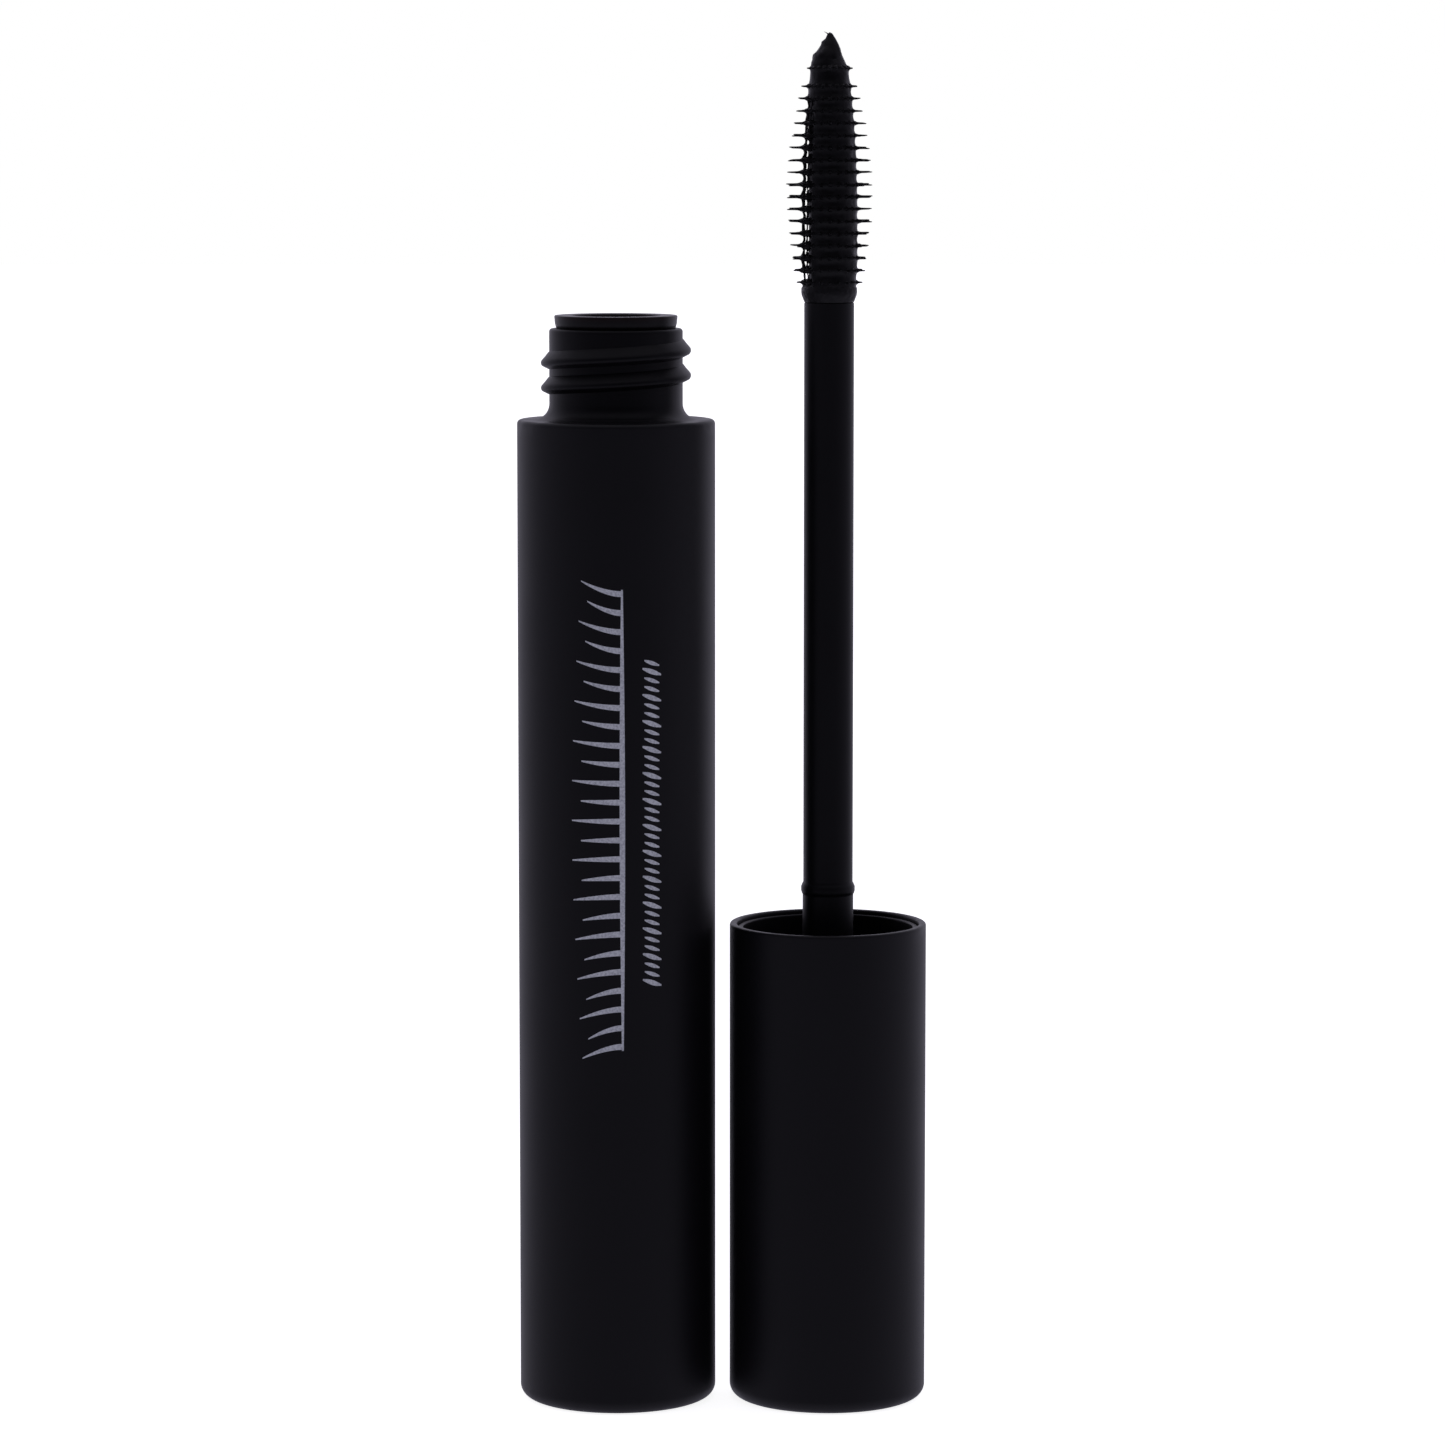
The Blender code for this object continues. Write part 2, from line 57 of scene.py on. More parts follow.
bpy.ops.object.camera_add(
    location=(0.0, -CAMERA_DISTANCE, CAMERA_HEIGHT),
    rotation=(math.radians(90.0) - CAMERA_TILT, 0.0, 0.0),
)
camera = bpy.context.object
camera.data.lens = CAMERA_LENS
camera.data.clip_start = 0.01
camera.data.clip_end = 20.0
bpy.context.scene.camera = camera
bpy.context.scene.view_settings.view_transform = "Standard"


class Level:
    """A shader socket that joins in sums: an expression on levels adds its Math nodes."""

    def __init__(self, shading, socket):
        self.shading = shading
        self.socket = socket

    def math(self, operation, first, second):
        return self.shading.node("Math", {"operation": operation}, {0: first, 1: second})

    def __add__(self, other):
        return self.math("ADD", self, other)

    def __sub__(self, other):
        return self.math("SUBTRACT", self, other)

    def __rsub__(self, other):
        return self.math("SUBTRACT", other, self)

    def __mul__(self, other):
        return self.math("MULTIPLY", self, other)

    __radd__ = __add__
    __rmul__ = __mul__


class Shading:
    """A tree of shader nodes under way."""

    def __init__(self, tree):
        self.tree = tree

    def feed(self, socket, value):
        if isinstance(value, Level):
            self.tree.links.new(value.socket, socket)
        else:
            socket.default_value = value

    def node(self, kind, settings, sockets, output=0):
        """Adds a node: its settings first, then the values or links of its sockets."""
        made = self.tree.nodes.new("ShaderNode" + kind)
        for name, value in settings.items():
            setattr(made, name, value)
        for key, value in sockets.items():
            self.feed(made.inputs[key], value)
        return Level(self, made.outputs[output])

    def between(self, level, low, high, shape="LINEAR"):
        """0 below low, 1 above high, and a rise from one to the other."""
        ends = {"Value": level, "From Min": low, "From Max": high}
        return self.node("MapRange", {"interpolation_type": shape}, ends)

    def blend(self, share, first, second):
        """A colour between two colours."""
        return self.node("Mix", {"data_type": "RGBA"}, {0: share, 6: first, 7: second}, 2)


class Finish(Shading):
    """A material under way: one Principled shader, and what changes over the surface."""

    def __init__(self, name, **constants):
        self.material = bpy.data.materials.new(name)
        self.material.use_nodes = True
        super().__init__(self.material.node_tree)
        self.shader = self.tree.nodes["Principled BSDF"]
        for socket, value in constants.items():
            self.shader.inputs[socket.replace("_", " ")].default_value = value
        self.place = self.node("TexCoord", {}, {}, "Object")

    def speckle(self, cell, detail=3.0, stretch=(1.0, 1.0, 1.0)):
        """Noise from 0 to 1 whose features are about one cell across, in metres."""
        stretched = self.node("Mapping", {}, {"Vector": self.place, "Scale": stretch})
        sockets = {"Vector": stretched, "Scale": 1.0 / cell, "Detail": detail}
        return self.node("TexNoise", {}, sockets)

    def height(self):
        """Height above the floor."""
        return self.node("SeparateXYZ", {}, {0: self.place}, "Z")

    def outward(self, axis):
        """Distance from an upright axis at that X."""
        sockets = {0: self.place, 1: (axis, 0.0, 0.0)}
        away = self.node("VectorMath", {"operation": "SUBTRACT"}, sockets)
        level = self.node("VectorMath", {"operation": "MULTIPLY"}, {0: away, 1: (1.0, 1.0, 0.0)})
        return self.node("VectorMath", {"operation": "LENGTH"}, {0: level}, "Value")

    def colour(self, value):
        self.feed(self.shader.inputs["Base Color"], value)

    def roughness(self, value):
        self.feed(self.shader.inputs["Roughness"], value)

    def relief(self, level, depth):
        """Bumps of a depth in metres from a level that runs from 0 to 1."""
        bump = self.node("Bump", {}, {"Height": level, "Distance": depth}, "Normal")
        self.feed(self.shader.inputs["Normal"], bump)


TENT_FRONT = (0.052, 0.049, 0.064, 1.0)
TENT_SIDE = (0.270, 0.258, 0.330, 1.0)
TENT_BACK = (0.760, 0.730, 0.880, 1.0)
TENT_TOP = (0.420, 0.406, 0.475, 1.0)
TENT_FLOOR = (0.450, 0.435, 0.538, 1.0)
FRONT_TO_SIDE = (-0.95, 0.10)
SIDE_TO_BACK = (0.15, 0.95)
WALL_TO_TOP = (0.45, 0.95)
WALL_TO_FLOOR = (-0.02, -0.45)
WHITE = (1.0, 1.0, 1.0, 1.0)

world = bpy.data.worlds.new("light_tent")
world.use_nodes = True
tent = Shading(world.node_tree)
heading = tent.node("TexCoord", {}, {}, "Generated")
backward = tent.node("SeparateXYZ", {}, {0: heading}, "Y")
upward = tent.node("SeparateXYZ", {}, {0: heading}, "Z")
walls = tent.blend(tent.between(backward, *FRONT_TO_SIDE, "SMOOTHSTEP"), TENT_FRONT, TENT_SIDE)
walls = tent.blend(tent.between(backward, *SIDE_TO_BACK, "SMOOTHSTEP"), walls, TENT_BACK)
walls = tent.blend(tent.between(upward, *WALL_TO_TOP, "SMOOTHSTEP"), walls, TENT_TOP)
inside = tent.blend(tent.between(upward, *WALL_TO_FLOOR), walls, TENT_FLOOR)
seen = tent.node("LightPath", {}, {}, "Is Camera Ray")
background = world.node_tree.nodes["Background"]
tent.feed(background.inputs["Color"], tent.blend(seen, inside, WHITE))
background.inputs["Strength"].default_value = 1.0
bpy.context.scene.world = world

FLOOR_SIZE = 8.0
FLOOR_DROP = 0.00002
FLOOR_GLOW = 0.88
PAPER_TONES = (0.93, 0.93, 0.93, 1.0), (0.95, 0.95, 0.95, 1.0)

bpy.ops.mesh.primitive_plane_add(size=FLOOR_SIZE, location=(0.0, 0.0, -FLOOR_DROP))
floor = bpy.context.object
floor.name = "studio_floor"
paper = Finish(
    "studio_paper", Roughness=0.9, Specular_IOR_Level=0.0, Emission_Strength=FLOOR_GLOW
)
paper.feed(paper.shader.inputs["Emission Color"], WHITE)
paper.colour(paper.blend(paper.speckle(0.004), *PAPER_TONES))
underside = paper.node("NewGeometry", {}, {}, "Backfacing")
clear = paper.node("BsdfTransparent", {}, {})
lit = Level(paper, paper.shader.outputs["BSDF"])
seen_through = paper.node("MixShader", {}, {0: underside, 1: lit, 2: clear})
paper.feed(paper.tree.nodes["Material Output"].inputs["Surface"], seen_through)
floor.data.materials.append(paper.material)
floor.visible_glossy = False
floor.visible_diffuse = False
floor.visible_shadow = False

# ---------------------------------------------------------------------------------------------
# The bottle: one moulding of black plastic, with a round body, a flat shoulder and a threaded
# neck. The outside is sprayed with soft-touch lacquer up to the foot of the neck. The neck and
# the inside are left bare.
# ---------------------------------------------------------------------------------------------

SHOULDER = 0.0952
SHOULDER_WALL = 0.0018
SHOULDER_ROUND = 0.0004
BOTTLE_WALL = 0.0015
BOTTLE_FLOOR = 0.0022
BASE_ROUND = 0.0012
LABEL_RECESS = 0.0007
LABEL_PLAY = 0.0001
NECK_RADIUS = 0.0064
NECK_WALL = 0.0014
NECK_FILLET = 0.0015
NECK_ROUND = 0.0003
EDGE_ROUND = 0.0002
THREAD_DEPTH = 0.0008
THREAD_PITCH = 0.0024
THREAD_LOW = 0.00263
THREAD_START = math.radians(123.75)
THREAD_TURNS = 1.85
THREAD_FADE = 0.16
THREAD_BITE = 0.0002
LEAST_RIDGE = 0.08
FULL_TURN = 2.0 * math.pi
ROUND_STEPS = 96
WELD = 1e-6

bottle_low, bottle_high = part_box("bottle")
label_low, label_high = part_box("base_label")
bottle_axis = (bottle_low.x + bottle_high.x) / 2
bottle_radius = (bottle_high.x - bottle_low.x) / 2
neck_top = bottle_high.z
label_radius = (label_high.x - label_low.x) / 2


def clear_selection():
    if bpy.context.object and bpy.context.object.mode != "OBJECT":
        bpy.ops.object.mode_set(mode="OBJECT")
    bpy.ops.object.select_all(action="DESELECT")


def arc(across, up, radius, start, sweep, steps):
    """Points on a round stretch of an outline, its angles in degrees from the outward side."""
    points = []
    for step in range(steps + 1):
        angle = math.radians(start + sweep * step / steps)
        points.append((across + radius * math.cos(angle), up + radius * math.sin(angle)))
    return points


LONG_WALL = 0.0011
HOLD = 0.00012


def held(outline):
    """Adds a point near both ends of each long stretch, so that its shading stays straight."""
    points = [outline[0]]
    for here, there in zip(outline, outline[1:]):
        length = math.hypot(there[0] - here[0], there[1] - here[1])
        if length > LONG_WALL:
            for share in (HOLD / length, 1.0 - HOLD / length):
                points.append(tuple(a + share * (b - a) for a, b in zip(here, there)))
        points.append(there)
    return points


def turned(name, outline, axis, looped=False, steps=ROUND_STEPS):
    """Draws an outline of (radius, height) points and spins it round an upright axis."""
    clear_selection()
    outline = held([*outline, outline[0]])[:-1] if looped else held(outline)
    (radius, height), rest = outline[0], outline[1:]
    bpy.ops.mesh.primitive_plane_add(size=0.001, location=(axis + radius, 0.0, height))
    piece = bpy.context.object
    piece.name = name
    bpy.ops.object.transform_apply()
    bpy.ops.object.mode_set(mode="EDIT")
    bpy.ops.mesh.merge(type="CENTER")
    for point in rest:
        step = (point[0] - radius, 0.0, point[1] - height)
        bpy.ops.mesh.extrude_vertices_move(TRANSFORM_OT_translate={"value": step})
        radius, height = point
    if looped:
        step = (outline[0][0] - radius, 0.0, outline[0][1] - height)
        bpy.ops.mesh.extrude_vertices_move(TRANSFORM_OT_translate={"value": step})
    bpy.ops.mesh.select_all(action="SELECT")
    bpy.ops.mesh.spin(
        steps=steps, angle=FULL_TURN, center=(axis, 0.0, 0.0), axis=(0.0, 0.0, 1.0)
    )
    bpy.ops.mesh.select_all(action="SELECT")
    bpy.ops.mesh.remove_doubles(threshold=WELD)
    bpy.ops.mesh.normals_make_consistent(inside=False)
    bpy.ops.object.mode_set(mode="OBJECT")
    return piece


def apply_modifier(piece, kind, **settings):
    """Adds a modifier, sets it and applies it, with that piece alone selected."""
    clear_selection()
    piece.select_set(True)
    bpy.context.view_layer.objects.active = piece
    modifier = piece.modifiers.new(kind.lower(), kind)
    for name, value in settings.items():
        setattr(modifier, name, value)
    bpy.ops.object.modifier_apply(modifier=modifier.name)


def unite(piece, other):
    """Joins a second solid to a piece, and removes it."""
    apply_modifier(piece, "BOOLEAN", operation="UNION", solver="EXACT", object=other)
    bpy.data.objects.remove(other)


def smooth(piece, degrees=35.0):
    clear_selection()
    piece.select_set(True)
    bpy.context.view_layer.objects.active = piece
    bpy.ops.object.shade_smooth_by_angle(angle=math.radians(degrees))


def dress(piece, finish, body, slot, *nodes):
    """Gives a piece its finish and its body, and hides the CAD nodes that it stands for. The
    slot is not used.
    """
    piece.data.materials.clear()
    piece.data.materials.append(finish.material)
    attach(piece, body)
    if nodes:
        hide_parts(*nodes)


def thread(name, axis, section, low, start, turns):
    """Winds a section of (radius, height) points up a right-handed helix, then lets both ends
    run out into the wall that the section's first point lies in."""
    clear_selection()
    (radius, height), rest = section[0], section[1:]
    bpy.ops.mesh.primitive_plane_add(size=0.0001, location=(radius, 0.0, low + height))
    ridge = bpy.context.object
    ridge.name = name
    bpy.ops.object.transform_apply()
    bpy.ops.object.mode_set(mode="EDIT")
    bpy.ops.mesh.merge(type="CENTER")
    for point in [*rest, section[0]]:
        step = (point[0] - radius, 0.0, point[1] - height)
        bpy.ops.mesh.extrude_vertices_move(TRANSFORM_OT_translate={"value": step})
        radius, height = point
    bpy.ops.mesh.select_all(action="SELECT")
    bpy.ops.mesh.remove_doubles(threshold=0.1 * WELD)
    bpy.ops.mesh.edge_face_add()
    bpy.ops.object.mode_set(mode="OBJECT")
    apply_modifier(
        ridge,
        "SCREW",
        angle=FULL_TURN * turns,
        screw_offset=THREAD_PITCH * turns,
        steps=round(ROUND_STEPS * turns),
        render_steps=round(ROUND_STEPS * turns),
    )
    wall = section[0][0]
    for vert in ridge.data.vertices:
        turn = (vert.co.z - low) / THREAD_PITCH
        angle = math.atan2(vert.co.y, vert.co.x) / FULL_TURN
        turn = angle + round(turn - angle)
        left = max(0.0, min(1.0, turn / THREAD_FADE, (turns - turn) / THREAD_FADE))
        rise = LEAST_RIDGE + (1.0 - LEAST_RIDGE) * math.sin(0.25 * FULL_TURN * left)
        out = math.hypot(vert.co.x, vert.co.y)
        share = (wall + (out - wall) * rise) / out
        vert.co = Vector((vert.co.x * share, vert.co.y * share, vert.co.z))
    ridge.data.transform(Matrix.Translation((axis, 0.0, 0.0)) @ Matrix.Rotation(start, 4, "Z"))
    clear_selection()
    ridge.select_set(True)
    bpy.context.view_layer.objects.active = ridge
    bpy.ops.object.mode_set(mode="EDIT")
    bpy.ops.mesh.select_all(action="SELECT")
    bpy.ops.mesh.remove_doubles(threshold=0.1 * WELD)
    bpy.ops.mesh.normals_make_consistent(inside=False)
    bpy.ops.object.mode_set(mode="OBJECT")
    return ridge


cavity = bottle_radius - BOTTLE_WALL
ceiling = SHOULDER - SHOULDER_WALL
bore = NECK_RADIUS - NECK_WALL
recess = label_radius + LABEL_PLAY
body_edge = bottle_radius - SHOULDER_ROUND
bottle_outline = [
    (0.0, LABEL_RECESS),
    (recess, LABEL_RECESS),
    *arc(recess + EDGE_ROUND, EDGE_ROUND, EDGE_ROUND, 180.0, -90.0, 3)[1:],
    *arc(bottle_radius - BASE_ROUND, BASE_ROUND, BASE_ROUND, -90.0, 90.0, 10),
    *arc(body_edge, SHOULDER - SHOULDER_ROUND, SHOULDER_ROUND, 0.0, 90.0, 6),
    *arc(NECK_RADIUS + NECK_FILLET, SHOULDER + NECK_FILLET, NECK_FILLET, -90.0, -90.0, 10),
    *arc(NECK_RADIUS - NECK_ROUND, neck_top - NECK_ROUND, NECK_ROUND, 0.0, 90.0, 4),
    *arc(bore + EDGE_ROUND, neck_top - EDGE_ROUND, EDGE_ROUND, 90.0, 90.0, 3),
    (bore, ceiling),
    (cavity - BASE_ROUND, ceiling),
    *arc(cavity - BASE_ROUND, ceiling - BASE_ROUND, BASE_ROUND, 90.0, -90.0, 6)[1:],
    *arc(cavity - BASE_ROUND, BOTTLE_FLOOR + BASE_ROUND, BASE_ROUND, 0.0, -90.0, 6),
    (0.0, BOTTLE_FLOOR),
]
bottle = turned("bottle_moulding", bottle_outline, bottle_axis)

THREAD_SECTION = [
    (NECK_RADIUS - THREAD_BITE, -0.00074),
    (NECK_RADIUS + 0.16 * THREAD_DEPTH, -0.00058),
    (NECK_RADIUS + 0.55 * THREAD_DEPTH, -0.00043),
    (NECK_RADIUS + 0.86 * THREAD_DEPTH, -0.00030),
    (NECK_RADIUS + 0.97 * THREAD_DEPTH, -0.00015),
    (NECK_RADIUS + THREAD_DEPTH, 0.00002),
    (NECK_RADIUS + 0.95 * THREAD_DEPTH, 0.00018),
    (NECK_RADIUS + 0.78 * THREAD_DEPTH, 0.00036),
    (NECK_RADIUS + 0.48 * THREAD_DEPTH, 0.00062),
    (NECK_RADIUS + 0.16 * THREAD_DEPTH, 0.00096),
    (NECK_RADIUS - THREAD_BITE, 0.00126),
]
thread_low = SHOULDER + THREAD_LOW
bottle_thread = thread(
    "bottle_thread", bottle_axis, THREAD_SECTION, thread_low, THREAD_START, THREAD_TURNS
)
unite(bottle, bottle_thread)
smooth(bottle, 40.0)

LACQUER_TONES = (0.0026, 0.0024, 0.0034, 1.0), (0.0042, 0.0039, 0.0054, 1.0)
TOP_WEAR = 0.0016
BASE_WEAR = 0.0022
EDGE_WEAR = 0.0020
EDGE_WORN = 0.0011
PLASTIC_TONES = (0.0014, 0.0013, 0.0019, 1.0), (0.0026, 0.0024, 0.0034, 1.0)
ALONG_MOULD = (1.0, 1.0, 0.25)


def soft_touch(name, axis, body_top):
    """Rubbery black lacquer: a fine grain, faint clouds, and a little wear round both ends."""
    made = Finish(name, Specular_IOR_Level=0.27)
    cloud = made.speckle(0.006, 4.0)
    grain = made.speckle(0.00012, 2.0)
    up = made.height()
    top = made.between(up, body_top - TOP_WEAR, body_top)
    ends = top + (1 - made.between(up, 0.0002, BASE_WEAR))
    edge = made.between(made.outward(axis), bottle_radius - EDGE_WEAR, bottle_radius - EDGE_WORN)
    worn = ends * edge * made.between(made.speckle(0.0015, 5.0), 0.42, 0.70)
    made.colour(made.blend(cloud, *LACQUER_TONES))
    made.roughness(0.42 + 0.07 * cloud + 0.05 * grain - 0.12 * worn)
    made.relief(grain, 0.000006)
    return made


def bare_plastic(name, shine):
    """Black plastic as it left the mould: smooth, with faint flow marks round it."""
    made = Finish(name, Specular_IOR_Level=shine)
    flow = made.speckle(0.0009, 5.0, ALONG_MOULD)
    mottle = made.speckle(0.0030, 3.0)
    made.colour(made.blend(mottle, *PLASTIC_TONES))
    made.roughness(0.36 + 0.08 * flow + 0.05 * mottle)
    made.relief(flow, 0.000010)
    return made


BARE_ABOVE = SHOULDER + 0.0003
lacquer = soft_touch("soft_touch_bottle", bottle_axis, SHOULDER)
neck_plastic = bare_plastic("bare_neck", 0.17)
dress(bottle, lacquer, "bottle", "soft_touch_black", "bottle")
bottle.data.materials.append(neck_plastic.material)
for face in bottle.data.polygons:
    out = math.hypot(face.center.x - bottle_axis, face.center.y)
    inside = out < cavity + 0.0001 and BOTTLE_FLOOR - 0.0001 < face.center.z < SHOULDER - 0.0001
    if inside or face.center.z > BARE_ABOVE:
        face.material_index = 1

# ---------------------------------------------------------------------------------------------
# The print on the bottle's front: thin grey ink, screen-printed on the lacquer. A fringe of
# lash-like strokes and a row of small slanted petals, both running up the bottle.
# ---------------------------------------------------------------------------------------------

FRINGE_LOW, FRINGE_HIGH = 0.0359, 0.0792
FRINGE_ROOT, FRINGE_REACH = 0.0006, 0.0047
LASH_COUNT = 25
LASH_STEPS = 10
LASH_WIDTH = 0.00056
LASH_BEND = 0.0012
LASH_TAPER = 0.80
OUTER_LASH = 0.80
SHORT_LASH = 0.82
LID_STEPS = 60
LID_HALF_WIDTH = 0.00026
LID_OVERHANG = 0.0004
PETAL_LOW, PETAL_HIGH = 0.0420, 0.0726
PETAL_PLACE = 0.0035
PETAL_COUNT = 38
PETAL_STEPS = 8
PETAL_LENGTH, PETAL_WIDTH = 0.00175, 0.00050
PETAL_SLANT = 0.35
PETAL_BLUNT = 0.30
SMALL_PETAL = 0.80
INK_THICKNESS = 0.000018


def flat_strip(name, steps):
    """A flat upright strip, one metre long and high, from the origin towards -X."""
    clear_selection()
    bpy.ops.mesh.primitive_grid_add(
        x_subdivisions=steps,
        y_subdivisions=2,
        size=1.0,
        location=(-0.5, 0.0, 0.0),
        rotation=(math.radians(90.0), 0.0, 0.0),
    )
    strip = bpy.context.object
    strip.name = name
    bpy.ops.object.transform_apply()
    return strip


def print_on_bottle(name, strokes):
    """Joins flat strokes, lays them on the front of the bottle, and gives the ink its body."""
    clear_selection()
    for stroke in strokes:
        stroke.select_set(True)
    bpy.context.view_layer.objects.active = strokes[0]
    bpy.ops.object.join()
    film = bpy.context.object
    film.name = name
    film.data.transform(Matrix.Translation((bottle_axis, -2.0 * bottle_radius, 0.0)))
    apply_modifier(
        film,
        "SHRINKWRAP",
        target=bottle,
        wrap_method="PROJECT",
        use_project_y=True,
        use_positive_direction=True,
        offset=INK_THICKNESS,
    )
    bpy.ops.object.mode_set(mode="EDIT")
    bpy.ops.mesh.select_all(action="SELECT")
    bpy.ops.mesh.normals_make_consistent(inside=False)
    bpy.ops.object.mode_set(mode="OBJECT")
    apply_modifier(film, "SOLIDIFY", thickness=INK_THICKNESS, offset=0.0)
    smooth(film, 60.0)
    return film


lashes = []
for index in range(LASH_COUNT):
    along = index / (LASH_COUNT - 1)
    swing = 2.0 * along - 1.0
    reach = OUTER_LASH + (1.0 - OUTER_LASH) * math.cos(math.pi * swing / 2.0)
    reach *= FRINGE_REACH * (1.0 if index % 2 == 0 else SHORT_LASH)
    lash = flat_strip("lash", LASH_STEPS)
    root = FRINGE_LOW + along * (FRINGE_HIGH - FRINGE_LOW)
    for vert in lash.data.vertices:
        out = -vert.co.x
        half = LASH_WIDTH / 2 * (1.0 - LASH_TAPER * out ** 1.6)
        side = 1.0 if vert.co.z > 0.0 else -1.0
        bend = LASH_BEND * swing * out ** 1.7
        vert.co = Vector((FRINGE_ROOT - reach * out, 0.0, root + bend + side * half))
    lashes.append(lash)
lid = flat_strip("lid_line", LID_STEPS)
lid_length = FRINGE_HIGH - FRINGE_LOW + 2.0 * LID_OVERHANG
for vert in lid.data.vertices:
    out = -vert.co.x
    side = 1.0 if vert.co.z > 0.0 else -1.0
    half = LID_HALF_WIDTH * (0.35 + 0.65 * math.sin(math.pi * out))
    right = FRINGE_ROOT + 0.0001 + side * half
    vert.co = Vector((right, 0.0, FRINGE_LOW - LID_OVERHANG + out * lid_length))
lashes.append(lid)
lash_print = print_on_bottle("lash_print", lashes)

petals = []
for index in range(PETAL_COUNT):
    petal = flat_strip("petal", PETAL_STEPS)
    middle = PETAL_LOW + index * (PETAL_HIGH - PETAL_LOW) / (PETAL_COUNT - 1)
    size = 1.0 if index % 3 == 0 else SMALL_PETAL
    for vert in petal.data.vertices:
        out = -vert.co.x
        side = 1.0 if vert.co.z > 0.0 else -1.0
        swell = PETAL_BLUNT + (1.0 - PETAL_BLUNT) * math.sin(math.pi * out)
        half = size * PETAL_WIDTH / 2 * swell
        away = size * PETAL_LENGTH * (out - 0.5)
        vert.co = Vector((PETAL_PLACE - away, 0.0, middle + side * half + PETAL_SLANT * away))
    petals.append(petal)
petal_print = print_on_bottle("petal_print", petals)

INK_TONES = (0.56, 0.59, 0.63, 1.0), (0.88, 0.92, 0.95, 1.0)
ink = Finish("grey_ink", Specular_IOR_Level=0.35)
cover = ink.between(ink.speckle(0.00022, 4.0), 0.30, 0.62)
ink.colour(ink.blend(cover, *INK_TONES))
ink.roughness(0.42 + 0.15 * ink.speckle(0.0004))
ink.relief(ink.speckle(0.00015), 0.000004)
dress(lash_print, ink, "bottle", "print_grey")
dress(petal_print, ink, "bottle", "print_grey")

# ---------------------------------------------------------------------------------------------
# The base label: a blank disc of satin film in the recess of the base, with a printed ring and
# a round swatch in place of the small print.
# ---------------------------------------------------------------------------------------------

RING_INNER, RING_OUTER = 0.80, 0.84
SWATCH = 0.27
PRINT_EDGE = 0.01
FILM_TONES = (0.026, 0.026, 0.029, 1.0), (0.033, 0.033, 0.036, 1.0)
RING_INK = (0.22, 0.24, 0.28, 1.0)
SWATCH_INK = (0.004, 0.004, 0.005, 1.0)

film_foot, film_top = label_low.z, label_high.z
label_outline = [
    (0.0, film_foot),
    (label_radius - 0.00005, film_foot),
    (label_radius, film_foot + 0.00004),
    (label_radius, film_top - 0.00002),
    (label_radius - 0.00002, film_top),
    (0.0, film_top),
]
base_label = turned("label_disc", label_outline, bottle_axis, steps=72)
smooth(base_label)

film = Finish("satin_film", Specular_IOR_Level=0.45)
out = film.outward(bottle_axis) * (1.0 / label_radius)
ring = film.between(out, RING_INNER, RING_INNER + PRINT_EDGE)
ring = ring * (1 - film.between(out, RING_OUTER, RING_OUTER + PRINT_EDGE))
swatch = 1 - film.between(out, SWATCH, SWATCH + PRINT_EDGE)
blank = film.blend(film.speckle(0.0010), *FILM_TONES)
with_ring = film.blend(ring, blank, RING_INK)
film.colour(film.blend(swatch, with_ring, SWATCH_INK))
film.roughness(0.34 + 0.14 * film.speckle(0.0008) - 0.12 * swatch)
film.relief(film.speckle(0.0003) + 0.5 * ring, 0.000008)
dress(base_label, film, "bottle", "label_film", "base_label")

# ---------------------------------------------------------------------------------------------
# The wiper: a soft insert pushed into the neck. Its flange sits on the neck's top, and its thin
# funnel strips the spare paste from the brush as it is drawn out.
# ---------------------------------------------------------------------------------------------

WIPER_WALL = 0.0007
WIPER_ORIFICE = 0.00254
WIPER_LIP = 0.0004
WIPER_TUBE = 0.0088
WIPER_FUNNEL = 0.0036
MOUTH_ROUND = 0.00030
TUBE_BEND = 0.0012
FLANGE_ROUND = 0.00012
BEAD_SWELL = 0.00008

wiper_low, wiper_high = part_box("wiper")
flange_radius = (wiper_high.x - wiper_low.x) / 2
flange_foot = neck_top + 0.00002
tube_radius = bore - 0.0001
tube_foot = neck_top + 0.0003 - WIPER_TUBE
funnel_foot = tube_foot - WIPER_FUNNEL
wiper_bore = tube_radius - WIPER_WALL
wiper_outline = [
    *arc(wiper_bore + MOUTH_ROUND, wiper_high.z - MOUTH_ROUND, MOUTH_ROUND, 90.0, 90.0, 5),
    *arc(wiper_bore - TUBE_BEND, tube_foot, TUBE_BEND, 0.0, -35.0, 5),
    (WIPER_ORIFICE + 0.00025, funnel_foot + 0.0004),
    (WIPER_ORIFICE, funnel_foot),
    (WIPER_ORIFICE, wiper_low.z + 0.0001),
    (WIPER_ORIFICE + 0.0001, wiper_low.z),
    (WIPER_ORIFICE + WIPER_LIP - 0.0001, wiper_low.z),
    (WIPER_ORIFICE + WIPER_LIP, wiper_low.z + 0.0001),
    (WIPER_ORIFICE + WIPER_LIP, funnel_foot),
    (tube_radius - 0.0006, tube_foot - 0.0006),
    (tube_radius, tube_foot + 0.0003),
    (tube_radius, tube_foot + 0.0030),
    (tube_radius + BEAD_SWELL, tube_foot + 0.0034),
    (tube_radius, tube_foot + 0.0038),
    (tube_radius, flange_foot),
    (flange_radius - 0.00022, flange_foot),
    (flange_radius - 0.00016, flange_foot + 0.00010),
    (flange_radius - 0.00006, flange_foot + 0.00045),
    *arc(flange_radius - FLANGE_ROUND, wiper_high.z - FLANGE_ROUND, FLANGE_ROUND, 0.0, 90.0, 4),
]
wiper = turned("neck_wiper", wiper_outline, bottle_axis, looped=True)
smooth(wiper, 50.0)
